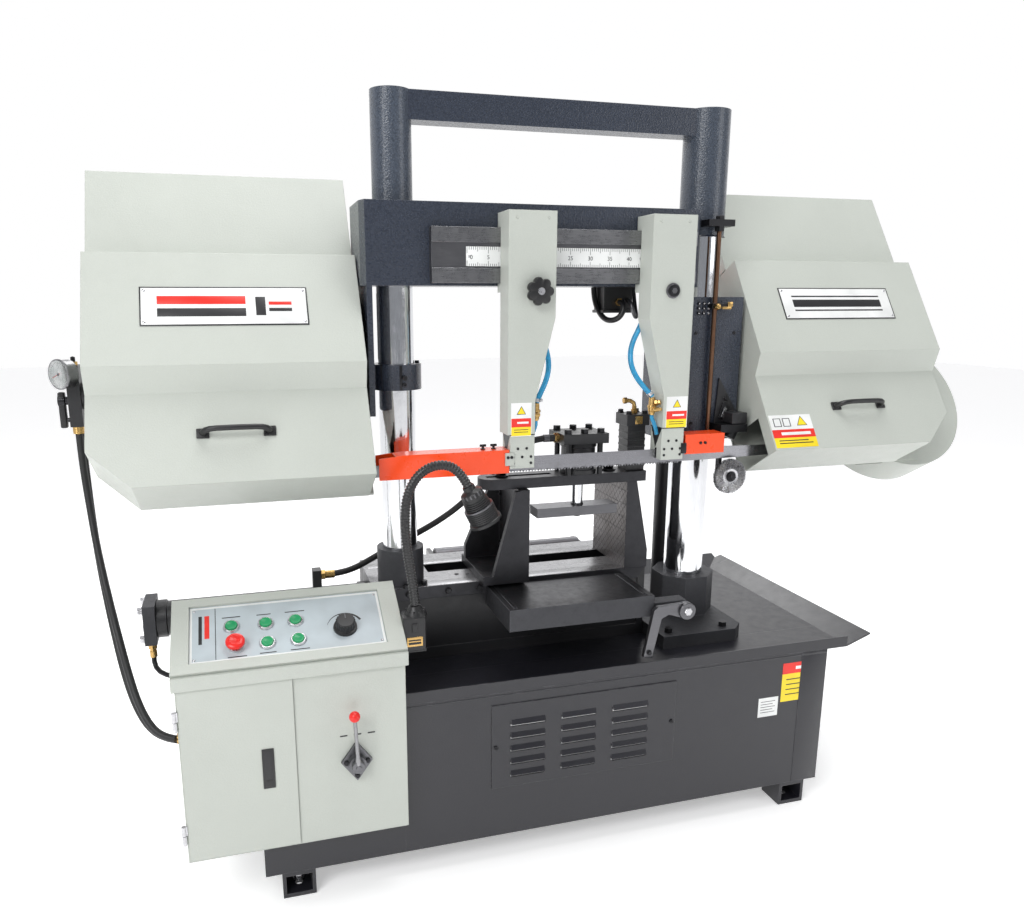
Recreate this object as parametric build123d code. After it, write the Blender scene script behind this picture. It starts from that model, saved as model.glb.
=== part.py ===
from build123d import *
import os
import math

# Double-column horizontal metal-cutting band saw.
# Frame: X along the machine's length (right +), Y away from the operator,
# Z up from the floor. Origin: centre of the four anchor holes, floor level. Millimetres.

os.makedirs("parts", exist_ok=True)

# ---------------- driving dimensions ----------------
# base and tray
BX0, BX1 = -721.0, 720.0
BY0, BY1 = -334.0, 334.0
BZ0, BZ1 = 64.0, 436.0
WALL = 5.0
TRAY_T = 4.0
TRAY_Z = BZ1 + TRAY_T            # tray floor, 440
RIM_Z = 464.0
# control cabinet
CX0, CX1 = -874.0, -402.0
CY0, CY1 = -374.0, -200.0
CZ0, CZ1 = 162.0, 556.0
CLIP_Z = 585.0                   # top of the front lip of the desk
CREAR_Z = 681.0                  # rear edge of the sloping desk
DESK = math.degrees(math.atan2(CREAR_Z - CLIP_Z, CY1 - CY0))
# bed
BED_Z = 632.0
BED_Y0, BED_Y1 = -112.0, 150.0
BED_X0, BED_X1 = -425.0, 300.0
SLOT_Y0, SLOT_Y1 = -5.0, 60.0
# columns
COL_Y = -40.0
LX, LR = -346.0, 43.0
RX, RR = 455.0, 52.5
COL_TOP = 1556.0
# saw frame
BEAM_X0, BEAM_X1 = -425.0, 397.0
BEAM_Y0, BEAM_Y1 = -129.0, 45.0
BEAM_Z0, BEAM_Z1 = 1355.0, 1538.0
TUBE_TOP = 1780.0
LTR, RTR = 46.5, 57.0
# blade
BW, BT = 34.0, 1.1
BY, BZ = -186.0, 944.0
GX0, GX1 = -205.0, 340.0         # ends of the straight, upright stretch
TWIST = 58.0
LEAD = 30.0                      # untwisted stretch beside the idler wheel
# wheel plane: tilted back about X; local y goes into the machine, local z up the plane
TILT = 32.0
YR, ZR = -180.0, 1192.5
ST, CT = math.sin(math.radians(TILT)), math.cos(math.radians(TILT))
KB = (BY - YR) * ST + (BZ - ZR) * CT
WB = (BY - YR) * CT - (BZ - ZR) * ST
RC = 260.0 + BT / 2              # blade centreline radius
KC = KB + RC                     # wheel centre height in the plane
IX, DX = -726.0, 839.0           # idler and drive wheel centres
# covers, in the wheel plane
LCX0, LCX1 = -1016.0, -436.0
RCX0, RCX1 = 561.0, 1118.0
LID_TOP, LID_BOT = 274.0, -249.0
HOOD_TOP = 521.0
STEP = 45.0
DEPTH = 187.0
SH = 2.0                         # cover sheet
PLATE = 8.0

# ---------------- helpers ----------------
def bx(x0, x1, y0, y1, z0, z1):
    return Pos((x0 + x1) / 2, (y0 + y1) / 2, (z0 + z1) / 2) * Box(x1 - x0, y1 - y0, z1 - z0)

def cz(x, y, z0, z1, r):
    return Pos(x, y, (z0 + z1) / 2) * Cylinder(r, z1 - z0)

def cx(x0, x1, y, z, r):
    return Pos((x0 + x1) / 2, y, z) * Rot(0, 90, 0) * Cylinder(r, x1 - x0)

def cy(x, y0, y1, z, r):
    return Pos(x, (y0 + y1) / 2, z) * Rot(90, 0, 0) * Cylinder(r, y1 - y0)

def pyz(pts, x0, x1):
    f = Face(Wire.make_polygon([Vector(x0, p[0], p[1]) for p in pts], close=True))
    return extrude(f, amount=x1 - x0, dir=(1, 0, 0))

def pxz(pts, y0, y1):
    f = Face(Wire.make_polygon([Vector(p[0], y0, p[1]) for p in pts], close=True))
    return extrude(f, amount=y1 - y0, dir=(0, 1, 0))

def pxy(pts, z0, z1):
    f = Face(Wire.make_polygon([Vector(p[0], p[1], z0) for p in pts], close=True))
    return extrude(f, amount=z1 - z0, dir=(0, 0, 1))

def W(s):
    return Pos(0, YR, ZR) * Rot(-TILT, 0, 0) * s

def hexz(x, y, z0, z1, af):
    r = af / math.sqrt(3)
    return pxy([(x + r * math.cos(math.radians(60 * i)), y + r * math.sin(math.radians(60 * i))) for i in range(6)], z0, z1)

def hexy(x, z, y0, y1, af):
    r = af / math.sqrt(3)
    return pxz([(x + r * math.cos(math.radians(60 * i + 30)), z + r * math.sin(math.radians(60 * i + 30))) for i in range(6)], y0, y1)

NODES = {}

def put(name, *solids):
    for s in solids:
        NODES.setdefault(name, []).extend(s.solids())

def fuse(*s):
    r = s[0]
    for q in s[1:]:
        r = r + q
    return r

# ================= fixed machine =================
# base: welded plates, open underneath, notched front-left for the cabinet
put("base_cabinet",
    bx(BX0, BX1, BY1 - WALL, BY1, BZ0, BZ1),
    bx(BX1 - WALL, BX1, BY0 + WALL, BY1 - WALL, BZ0, BZ1),
    bx(CX1, BX1, BY0, BY0 + WALL, BZ0, BZ1) - bx(-178, 267, BY0 - 1, BY0 + WALL + 1, 208, 390),
    bx(BX0, CX1, BY0, BY0 + WALL, BZ0, CZ0),
    bx(BX0, BX0 + WALL, CY1, BY1 - WALL, BZ0, BZ1),
    bx(BX0, BX0 + WALL, BY0 + WALL, CY1, BZ0, CZ0),
    bx(BX0 + WALL, CX1, BY0 + WALL, CY1, CZ0 - WALL, CZ0),
    bx(BX0 + WALL, CX1, CY1, CY1 + WALL, CZ0 - WALL, BZ1),
    bx(CX1, CX1 + WALL, BY0 + WALL, CY1 + WALL, CZ0 - WALL, BZ1))
for sx in (-1, 1):
    for sy in (-1, 1):
        xa, xb = sorted((sx * 606, sx * BX1 - sx * WALL - (1 if sx < 0 else 0)))
        ya, yb = sorted((sy * 250, sy * (BY1 - WALL)))
        put("base_cabinet", bx(xa, xb, ya, yb, BZ0, BZ0 + 6) - cz(sx * 648, sy * 280, BZ0 - 1, BZ0 + 7, 8.2))

# chip tray: floor, front and left lips, sloping side and rear flanges
fx, fy = 780.0, BY1
put("chip_tray",
    bx(CX1 + 1, fx, BY0, CY1 + 2, BZ1, TRAY_Z),
    bx(BX0, fx, CY1 + 2, fy, BZ1, TRAY_Z),
    bx(CX1 + 1, fx, BY0, BY0 + TRAY_T, TRAY_Z, RIM_Z),
    bx(BX0, BX0 + TRAY_T, CY1 + 2, fy, TRAY_Z, RIM_Z),
    pxz([(fx, BZ1), (fx + 70, 462), (fx + 70, 466), (fx, TRAY_Z)], BY0, fy),
    pyz([(fy, BZ1), (fy + 74, 462), (fy + 74, 466), (fy, TRAY_Z)], BX0, fx),
    pxz([(fx, BZ1), (fx + 70, 462), (fx + 70, 466), (fx, TRAY_Z)], fy, fy + 50) + pyz([(fy, BZ1), (fy + 74, 462), (fy + 74, 466), (fy, TRAY_Z)], fx, fx + 50))

# feet: angle brackets with gussets, one anchor hole each
FOOT_X, FOOT_Y = 648.0, 296.0
feet, bolts = [], []
for sx in (-1, 1):
    for sy in (-1, 1):
        x, y = sx * FOOT_X, sy * FOOT_Y
        f = bx(x - 37, x + 37, y - 37, y + 37, 0, 10) + bx(x - 37, x + 37, y - 37, y + 37, 54, BZ0)
        f += bx(x - 37, x - 29, y - 37, y + 37, 10, 54) + bx(x + 29, x + 37, y - 37, y + 37, 10, 54)
        f -= cz(x, y, -1, 11, 9.0)
        feet.append(f)
        bolts.append(hexz(x, y - 16 * sy, 70, 84, 24) + cz(x, y - 16 * sy, 36, 70, 7.8) + hexz(x, y - 16 * sy, 41, 54, 24))
        feet[-1] = feet[-1] - cz(x, y - 16 * sy, 50, 65, 8.2)
put("mounting_feet", *feet)
put("fixed_bolts", *bolts)

# louvred vent panel on the front
vent = bx(-194, 283, BY0 - 3, BY0, 192, 406)
for gx0, gx1 in ((-148, -62), (-20, 68), (112, 206)):
    for i in range(5):
        z = 222 + i * 33
        vent -= bx(gx0, gx1, BY0 - 4, BY0 + 1, z - 6, z)
        vent += pyz([(BY0 - 3, z + 12), (BY0 - 10, z + 1), (BY0 - 8.5, z), (BY0 - 3, z + 9)], gx0, gx1)
put("base_cabinet", vent)
put("fixed_bolts", *[cy(x, BY0 - 6, BY0 - 3, 299, 5) for x in (-184, 273)])

# control cabinet: folded shell with a door opening left and a fixed panel right
desk_pts = [(CY0, CZ0), (CY0, CLIP_Z), (CY1, CREAR_Z), (CY1, CZ0)]
SLOPE = (CREAR_Z - CLIP_Z) / (CY1 - CY0)
ST3 = 3.2                        # sheet under the desk, measured upright
FT = CLIP_Z - ST3                # top edge of the front sheets
put("cabinet_shell",
    pyz(desk_pts, CX0, CX0 + 3),
    pyz(desk_pts, CX1 - 3, CX1),
    bx(CX0 + 3, CX1 - 3, CY0, CY1, CZ0, CZ0 + 3),
    pyz([(CY1 - 3, CZ0 + 3), (CY1, CZ0 + 3), (CY1, CREAR_Z - ST3), (CY1 - 3, CREAR_Z - ST3 - 3 * SLOPE)], CX0 + 3, CX1 - 3),
    pyz([(CY0, FT), (CY0, CLIP_Z), (CY1, CREAR_Z), (CY1, CREAR_Z - ST3)], CX0 + 3, CX1 - 3),
    bx(CX0 + 3, CX0 + 16, CY0, CY0 + 3, CZ0 + 3, FT),
    bx(-641, CX1 - 3, CY0, CY0 + 3, CZ0 + 3, FT),
    bx(CX0 + 16, -641, CY0, CY0 + 3, CZ0 + 3, CZ0 + 10),
    bx(CX0 + 16, -641, CY0, CY0 + 3, CZ1 - 6, FT))
# proud lip of the desk top
DL = math.hypot(CY1 - CY0, CREAR_Z - CLIP_Z)
def D(s):
    # desk frame: local x = X, local y up the slope, local z out of it
    return Pos(0, CY0, CLIP_Z) * Rot(DESK, 0, 0) * s
lip = bx(CX0 - 6, CX1 + 6, CY0 - 9, CY0 - 0.0, CZ1, CLIP_Z + 1.0)
put("cabinet_shell", lip + D(bx(CX0 - 6, CX1 + 6, 0, 24, 0, 8)),
    D(bx(CX0 - 6, CX0 + 30, 24, DL - 22, 0, 8)), D(bx(CX1 - 34, CX1 + 6, 24, DL - 22, 0, 8)),
    D(bx(CX0 - 6, CX1 + 6, DL - 22, DL, 0, 8)) - bx(CX0 - 10, CX1 + 10, CY1, CY1 + 60, 500, 760))
put("control_panel", D(bx(CX0 + 30.3, CX1 - 34.3, 24.3, DL - 22.3, 0.1, 3)))

# door with a recessed pull
door = bx(CX0 + 3, -641.5, CY0 - 3.5, CY0 - 0.5, CZ0 + 4, CZ1 - 2)
door -= bx(-712, -688, CY0 - 4, CY0 + 1, 312, 402)
put("cabinet_door", door)
put("cabinet_door", bx(-711.5, -688.5, CY0 - 4.5, CY0 - 0.7, 312.5, 401.5) - bx(-707, -693, CY0 - 5, CY0 - 2.2, 318, 396))
HNG = []
HP = []
for z in (230, 490):
    HNG.append(cz(CX0 - 4.5, CY0 - 4, z - 22, z - 1, 4) - cz(CX0 - 4.5, CY0 - 4, z - 30, z, 2.05))
    HP.append(cz(CX0 - 4.5, CY0 - 4, z - 22, z + 22, 2.0))
    HNG[-1] = HNG[-1] + bx(CX0 - 1.5, CX0 + 0, CY0 - 6, CY0 + 14, z - 22, z - 1)
hng2 = []
for z in (230, 490):
    k = cz(CX0 - 4.5, CY0 - 4, z + 0.5, z + 22, 4) - cz(CX0 - 4.5, CY0 - 4, z, z + 30, 2.05)
    hng2.append(k + bx(CX0 - 1.5, CX0 + 2.7, CY0 - 5.5, CY0 - 2.2, z + 0.5, z + 22))
put("cabinet_shell", *HNG)
put("cabinet_shell", *HP)
put("cabinet_door", *hng2)

# push buttons: bezels stay, caps travel
BTN = {"start_button": (-758, 113, 17), "jaw_open_button": (-687, 112, 17), "jaw_close_button": (-686, 60, 17),
       "frame_up_button": (-624, 112, 17), "frame_down_button": (-622, 60, 17)}
ES = (-751, 60)
KN = (-520, 80)
bez = []
for n, (x, y, r) in BTN.items():
    bez.append(D(Pos(x, y, 5.0) * Cylinder(r, 4) - Pos(x, y, 5.0) * Cylinder(12.8, 5)))
    put(n, D(Pos(x, y, 9.3) * Cylinder(12.5, 6)))
bez.append(D(Pos(ES[0], ES[1], 4.5) * Cylinder(17, 3) - Pos(ES[0], ES[1], 4.5) * Cylinder(9.3, 5)))
put("control_panel", *bez)
put("emergency_stop", D(Pos(ES[0], ES[1], 11.5) * Cylinder(9, 7) + Pos(ES[0], ES[1], 20.5) * Cylinder(20, 12)))
put("speed_knob", D(Pos(KN[0], KN[1], 6.2) * Cylinder(26, 6) + Pos(KN[0], KN[1], 19.2) * Cylinder(21, 20) + Pos(KN[0], KN[1] + 11.5, 30.2) * Box(3, 17, 2)))

# hand valve on the fixed panel
VX, VZ = -514.0, 345.0
vb = pxz([(VX - 34, VZ), (VX, VZ - 46), (VX + 34, VZ), (VX, VZ + 46)], CY0 - 8, CY0)
vb += cy(VX, CY0 - 24, CY0 - 8, VZ, 19)
vb = fuse(vb, *[hexy(VX + a, VZ + b, CY0 - 12, CY0 - 8, 9) for a, b in ((-23, 0), (23, 0), (0, -33), (0, 33))])
put("valve_body", vb)
lev = cy(VX, CY0 - 36, CY0 - 24.4, VZ, 14)
lev += Pos(VX - 2.2, CY0 - 31, VZ + 58) * Rot(0, -2.2, 0) * Cylinder(4.2, 98)
put("valve_lever", lev)
put("valve_lever", Pos(VX - 4.4, CY0 - 31, VZ + 118.6) * Sphere(12) - Pos(VX - 2.2, CY0 - 31, VZ + 58) * Rot(0, -2.2, 0) * Cylinder(4.3, 98.4))

# bed with two ways and a slot for the jaw nut
bed = bx(BED_X0, BED_X1, BED_Y0, BED_Y1, TRAY_Z, BED_Z)
bed -= bx(-268, BED_X1 - 14, SLOT_Y0, SLOT_Y1, 525, BED_Z + 1)
bed -= cx(BED_X0 - 1, -267, 27.5, 565, 26)
bed -= bx(BED_X0 + 20, BED_X1 - 20, BED_Y0 - 1, BED_Y0 + 14, 470, 600)
bed += bx(BED_X0 + 20, BED_X1 - 20, BED_Y0 + 3, BED_Y0 + 14, 470, 600)
put("vise_bed", bed)

# front platform, just under the line of cut
plat = bx(-141, 229, -302, BED_Y0, 569, 622) - bx(-133, 221, -294, BED_Y0 - 8, 568, 614)
put("front_platform", plat)
put("front_platform", bx(-128, -118, -292, -124, 622, 624), bx(206, 216, -292, -124, 622, 624))
sb = bx(229, 322, -292, -256, 562, 598)
put("front_platform", sb - cy(310, -300, -250, 580, 9.06))
# swinging stop arm
st = cy(310, -318, -305.5, 580, 21) + cy(310, -306, -258, 580, 9)
st += pxz([(310, 600), (232, 597), (222, 588), (199, 470), (221, 466), (243, 566), (262, 575), (300, 562), (314, 562)], -318, -306)
put("stop_arm", st)
put("stop_arm", hexy(310, 580, -326, -318, 19))

# columns and sockets
put("columns", cz(LX, COL_Y, BED_Z, COL_TOP, LR))
put("columns", cz(RX, COL_Y, 475, COL_TOP, RR))
sl = cz(LX, COL_Y, BED_Z, 722, 58) - cz(LX, COL_Y, BED_Z - 1, 723, LR + 0.1)
put("column_sockets", sl)
pb = [(302.5, -228), (513, -228), (545, -196), (545, 46), (302.5, 46)]
sr = pxy(pb, TRAY_Z, 475)
oct_ = []
for i in range(8):
    a = math.radians(22.5 + 45 * i)
    oct_.append((RX + 84 * math.cos(a), COL_Y + 84 * math.sin(a)))
sr += pxy(oct_, 475, 585)
sr -= cz(RX, COL_Y, 475, 586, RR + 0.1)
put("column_sockets", sr)
put("fixed_bolts", *[hexz(LX + 70 * math.cos(math.radians(a)), COL_Y + 70 * math.sin(math.radians(a)), BED_Z, BED_Z + 9, 14) for a in (45, 225, 270, 315)],
    *[hexz(x, y, 475, 487, 19) for x, y in ((330, -200), (490, -200), (330, 20), (528, 20))])

# lift cylinder behind the right column
LFX, LFY = 455.0, 78.0
lc = cz(LFX, LFY, TRAY_Z, 1040, 30) - cz(LFX, LFY, 470, 1041, 24)
lc += bx(LFX - 42, LFX + 42, LFY - 31.5, LFY + 42, TRAY_Z, 462) - cz(LFX, LFY, 450, 463, 29)
put("fixed_cylinders", lc)
put("frame_hardware", cz(LFX, LFY, 760, 1290, 14) + cz(LFX, LFY, 760, 790, 23.9))

# fixed jaw with gussets
fj = bx(235, 261, -120, 82, BED_Z, 869) + bx(261, 300, -120, 82, BED_Z, 650)
fj += pxz([(261, 640), (300, 640), (300, 680), (263, 866), (261, 866)], -120, -104)
fj += pxz([(261, 640), (300, 640), (300, 680), (263, 866), (261, 866)], 40, 56)
for i in range(6):
    fj -= bx(234, 236.2, -121, 83, 660 + i * 36, 663 + i * 36)
put("fixed_jaw", fj)

# moving jaw, its nut and the rod of the vise cylinder
mj = bx(-66, -41, -150, 60, BED_Z + 0.4, 868.2) + bx(-160, -66, -150, 60, BED_Z + 0.4, 654)
mj += pxz([(-66, 640), (-134, 640), (-134, 654), (-76, 866), (-66, 866)], -150, -134)
mj += pxz([(-66, 640), (-160, 640), (-160, 690), (-84, 866), (-66, 866)], 20, 36)
mj += bx(-140, -100, 1, 54, 536, BED_Z + 1)
put("moving_jaw", mj)
rod = cx(-600, -140, 27.5, 565, 20) + cx(-640, -600, 27.5, 565, 34.9)
put("vise_rod", rod)
vc = cx(-938, BED_X0, 27.5, 565, 42) - cx(-930, BED_X0 - 12, 27.5, 565, 35) - cx(BED_X0 - 13, BED_X0 + 1, 27.5, 565, 20.06)
vc += bx(-966, -938, -21.5, 76.5, 516, 614)
put("fixed_cylinders", vc)
put("fixed_bolts", *[cx(-976, -966, y, z, 8) for y in (-8, 63) for z in (529, 601)])

# cross bar on the jaws, with slots, and the vertical press
bar = bx(-120, 282, -130, -55, 869, 895) + cz(-120, -92.5, 869, 895, 37.5)
bar -= bx(-136, 34, -101, -84, 868, 896)
bar -= bx(172, 214, -101, -84, 868, 896)
bar -= cz(108, -92.5, 868, 896, 14.06)
for ya, yb in ((-131, -101), (-84, -54)):
    put("press_bar", bar & bx(-160, 283, ya, yb, 868, 896))
for xa, xb in ((-160, -136), (34, 172), (214, 283)):
    put("press_bar", bar & bx(xa, xb, -101, -84, 868, 896))
PX, PY = 108.0, -92.5
body = cz(PX, PY, 895, 975, 43) - cz(PX, PY, 898, 976, 36) - cz(PX, PY, 894, 899, 14.06)
body = fuse(body, *[bx(PX + a - 4.5, PX + a + 4.5, PY + b - 4.5, PY + b + 4.5, 895, 975) for a in (-42, 42) for b in (-42, 42)])
put("press_cylinder", body)
head = bx(PX - 60, PX + 60, PY - 52, PY + 52, 975, 1000)
put("press_cylinder", head)
put("fixed_bolts", *[hexz(PX + a, PY + b, 1000, 1011, 17) for a in (-44, 0, 44) for b in (-38, 38)])
put("press_rod", cz(PX, PY, 811, 926, 14) + cz(PX, PY, 914, 926, 35.9))
put("press_rod", bx(-10, 208, PY - 28, PY + 28, 787, 811))
mfx = 256.0
put("press_cylinder", fuse(bx(mfx - 24, mfx + 24, PY - 26, PY + 26, 895, 1012), bx(mfx - 31, mfx + 31, PY - 33, PY + 33, 1012, 1040)))
put("vise_rod", cz(-97, PY, 868.2, 898.4, 8) + cz(-97, PY, 895.3, 898.4, 18) + hexz(-97, PY, 898.4, 908, 24))
put("fixed_bolts", cz(193, PY, 869, 898, 8) + cz(193, PY, 895, 898, 18) + hexz(193, PY, 898, 908, 24))

# rear roller stand
stand = fuse(bx(-217, -205, 152, 250, TRAY_Z, 618), bx(235, 247, 152, 250, TRAY_Z, 618), bx(-205, 235, 240, 248, 480, 540))
stand -= cx(-220, 250, 196, 603, 8.06)
put("roller_stand", stand)
for y, z in ((196.0, 603.0),):
    put("rear_roller", cx(-203, 233, y, z, 29) + cx(-224, 254, y, z, 8))

# hose from the press cylinder, behind the left column, to the block on the vise cylinder
put("press_cylinder", cx(22, PX - 60, -106, 988, 9.5))
put("fixed_cylinders", bx(-562, -540, 12, 43, 598, 656) - cx(-600, -500, 27.5, 565, 42.2))
PH = [(22, -106, 988), (-8, -106, 988), (-42, -99, 973), (-74, -76, 938), (-101, -42, 896), (-137, -22, 852), (-187, -8, 802), (-237, 12, 762), (-289, 30, 729), (-345, 44, 698), (-402, 44, 669), (-452, 34, 648), (-498, 27.5, 640), (-540, 27.5, 640)]
# work lamp: base on the cabinet side, gooseneck, head
put("work_lamp", bx(CX1 + 6.1, -344, -326, -276, 560, 642) - bx(-400, -343, -314, -288, 641, 643))
NECK = [(-361, -301, 642), (-366, -301, 700), (-377, -301, 770), (-383, -301, 845), (-378, -301, 912), (-348, -301, 962), (-298, -301, 979), (-256, -301, 958), (-237, -301, 918)]
def route(pts, r, limp=5.0, show=None):
    n = len(pts)
    rad = []
    for i in range(1, n - 1):
        a = Vector(*pts[i]) - Vector(*pts[i - 1])
        b = Vector(*pts[i + 1]) - Vector(*pts[i])
        t = a.get_angle(b)
        rr = 0.45 * min(a.length, b.length) / math.tan(math.radians(t) / 2)
        rad.append(min(rr, 4000.0))
        if show:
            print(show, i, "run %.0f turn %.1f radius %.0f" % (a.length, t, rr))
    line = FilletPolyline([Vector(*p) for p in pts], radius=rad)
    w = line.wire() if hasattr(line, "wire") else line
    d = Vector(*pts[1]) - Vector(*pts[0])
    prof = Plane(origin=Vector(*pts[0]), z_dir=d) * Circle(r)
    s = sweep(prof, path=w)
    print(show or "route", "length %.0f volume ratio %.4f" % (w.length, s.volume / (math.pi * r * r * w.length)))
    return s
put("work_lamp", route(NECK, 10.5, show="neck"))
dn = Vector(NECK[-1][0] - NECK[-2][0], 0, NECK[-1][2] - NECK[-2][2]).normalized()
hd = Vector(0.62, 0, -0.785).normalized()
hp = Vector(*NECK[-1])
ax = Plane(origin=hp, z_dir=dn)
put("work_lamp", fuse(ax * (Pos(0, 0, 14) * Cylinder(26, 28)), ax * (Pos(0, 0, 54) * Cylinder(34, 52)), ax * (Pos(0, 0, 83) * Cylinder(38, 8))))

# ================= saw frame =================
# beam: chamfered in plan at its left end, leg plate and rear lug for the left wheel box
bp = [(BEAM_X0, BEAM_Y0), (BEAM_X1, BEAM_Y0), (BEAM_X1, BEAM_Y1), (-433.5, BEAM_Y1), (-433.5, -100)]
beam = pxy(bp, BEAM_Z0, BEAM_Z1)
beam -= cz(LX, COL_Y, BEAM_Z0 - 1, BEAM_Z1 + 1, LR + 0.5)
beam += bx(-425, -412, BEAM_Y0, BEAM_Y1, 1062, BEAM_Z0)
beam += bx(-425, -390, BEAM_Y1 - 1, 118, 1180, 1340)
beam += bx(352, 391, -80, BEAM_Y1, 965, BEAM_Z0)
put("frame_beam", beam)
# column tubes and top tie
tl = cz(LX, COL_Y, BEAM_Z1, TUBE_TOP, LTR) - cz(LX, COL_Y, BEAM_Z1 - 1, TUBE_TOP - 5, LR + 0.5)
tr = cz(RX, COL_Y, 1478, TUBE_TOP, RTR) - cz(RX, COL_Y, 1477, TUBE_TOP - 5, RR + 0.5)
tie = bx(LX, RX, -72, -14, 1716, 1779) - cz(LX, COL_Y, 1700, 1790, LTR - 1) - cz(RX, COL_Y, 1700, 1790, RTR - 1)
lugr = bx(BEAM_X1, RX, -85, 5, 1490, BEAM_Z1) - cz(RX, COL_Y, 1470, 1600, RTR - 1)
put("column_tubes", fuse(tl, tr, tie, lugr))
# lower guide ring on the left column
ring = cz(LX, COL_Y, 1116, 1176, 60) + bx(-412, LX, -66, -14, 1116, 1176)
ring -= cz(LX, COL_Y, 1110, 1180, LR + 0.5)
put("frame_beam", ring)
put("frame_hardware", *[cy(LX + 8, COL_Y - 68, COL_Y - 60.05, 1146, 6), hexz(LX + 51, COL_Y, 1176, 1182, 10)])
# right guide housing around the right column
gh = bx(391, 546, -112, 30, 965, 1330) - cz(RX, COL_Y, 960, 1335, RR + 0.5)
gh += bx(425, 485, 30, 108, 1290, 1330)
put("frame_beam", gh)
hb = [cy(x, -116, -112, z, 4) for x in (418, 432) for z in (1290, 1302, 1314)]
put("frame_hardware", *hb)

# rail and ruler on the beam
rail = bx(-281, 380, -154, BEAM_Y0, 1361, 1483) - bx(-282, 381, -155, -150, 1394, 1450)
put("guide_rail", rail)
put("guide_rail", bx(-201, 237, -151.5, -150, 1398, 1441))

# guide arms
def arm(x0, x1, b0, b1, inner_left):
    # x0..x1 at the top, b0..b1 at the foot
    if inner_left:
        pts = [(x0, 1516), (x0, 1278), (b0, 1095), (b0, 1018), (x1, 1018), (x1, 1516)]
    else:
        pts = [(x0, 1516), (x0, 1018), (b1, 1018), (b1, 1095), (x1, 1284), (x1, 1516)]
    a = pxz(pts, -215, -155)
    a += bx(x0, x1, -155.5, -133, 1483.6, 1516)
    a += bx(x0, x1, -155.5, -133, 1340, 1360.4)
    return a
put("guide_arm_left", arm(-121, -8, -114, -54, False))
put("guide_arm_right", arm(229, 342, 276, 342, True))
def guide(x0, x1):
    g = bx(x0, x1, -213, -157, 938, 1018)
    g -= bx(x0 - 1, x1 + 1, BY - 4, BY + 4, 937, 965)
    return g
put("guide_arm_left", guide(-114, -54))
put("guide_arm_right", guide(276, 336))
def pads(x0, x1):
    return [bx(x0 + 6, x1 - 6, BY - 4, BY - 0.85, 938, 964), bx(x0 + 6, x1 - 6, BY + 0.85, BY + 4, 938, 964)]
put("guide_arm_left", *pads(-114, -54))
put("guide_arm_right", *pads(276, 336))
# clamp knob and bolt
kn = cy(-52, -241, -219, 1342, 17)
for i in range(8):
    a = math.radians(45 * i)
    kn += cy(-52 + 24 * math.cos(a), -241, -221, 1342 + 24 * math.sin(a), 9)
kn += cy(-52, -219, -215.3, 1342, 11)
put("clamp_knob", kn)
put("frame_hardware", hexy(286, 1344, -223, -217, 24) + cy(286, -217, -215, 1344, 17))

# blade guards, inverted channels
def chan(x0, x1, z0, z1):
    g = bx(x0, x1, -212, -160, z0, z1) - bx(x0 - 1, x1 + 1, -210, -162, z0 - 1, z1 - 2)
    return g
gl = chan(-421, -115, 928, 983)
gl -= pxz([(-430, 1000), (-430, 976), (-300, 990), (-300, 1000)], -220, -150)
put("blade_guard_left", gl)
put("blade_guards", chan(343, 452, 949, 998))

# blade: twisted between the wheels and the guides
def bsec(x, phi):
    p = math.radians(phi)
    dy, dz = math.sin(p), -math.cos(p)
    ny, nz = math.cos(p), math.sin(p)
    c = []
    for a, b in ((-1, -1), (1, -1), (1, 1), (-1, 1)):
        c.append(Vector(x, BY + a * dy * BW / 2 + b * ny * BT / 2, BZ + a * dz * BW / 2 + b * nz * BT / 2))
    return Wire.make_polygon(c, close=True)
def twist(xa, pa, xb, pb, n=6):
    return Solid.make_loft([bsec(xa + (xb - xa) * i / n, pa + (pb - pa) * i / n) for i in range(n + 1)], ruled=True)
half = lambda xc, sgn: W((Pos(xc, WB, KC) * Rot(90, 0, 0) * (Cylinder(RC + BT / 2, BW) - Cylinder(RC - BT / 2, BW + 2))) - (bx(xc, xc + 400, WB - 40, WB + 40, KC - 300, KC + 300) if sgn < 0 else bx(xc - 400, xc, WB - 40, WB + 40, KC - 300, KC + 300)))
blade = fuse(bx(GX0, GX1, BY - BT / 2, BY + BT / 2, BZ - BW / 2, BZ + BW / 2),
             W(bx(IX, DX, WB - BW / 2, WB + BW / 2, KC + RC - BT / 2, KC + RC + BT / 2)),
             half(IX, -1), half(DX, 1), W(bx(IX, IX + LEAD, WB - BW / 2, WB + BW / 2, KB - BT / 2, KB + BT / 2)),
             twist(IX + LEAD, TWIST, GX0, 0), twist(GX1, 0, DX - 5, TWIST), W(bx(DX - 5, DX, WB - BW / 2, WB + BW / 2, KB - BT / 2, KB + BT / 2)))
put("blade", blade)

# wheels
def wheel(xc):
    def c(y0, y1, r):
        return Pos(xc, (y0 + y1) / 2, KC) * Rot(90, 0, 0) * Cylinder(r, y1 - y0)
    w = c(WB - 18, WB + 18, 259.7) - c(WB - 19, WB - 7, 234) - c(WB + 7, WB + 19, 234)
    w += c(WB - 21, WB - 17.3, 263.5) - c(WB - 22, WB - 17, 240)
    w += c(WB - 26, WB + 26, 50)
    w -= c(WB - 30, WB + 30, 25.05)
    for i in range(5):
        a = math.radians(72 * i + 18)
        w -= Pos(xc + 145 * math.cos(a), WB, KC + 145 * math.sin(a)) * Rot(90, 0, 0) * Cylinder(46, 40)
    return W(w)
put("idler_wheel", wheel(IX))
put("drive_wheel", wheel(DX))
TW = DEPTH + 39.0                # tension axis
def lcyl(xc, kc, y0, y1, r):
    return Pos(xc, (y0 + y1) / 2, kc) * Rot(90, 0, 0) * Cylinder(r, y1 - y0)
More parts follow.
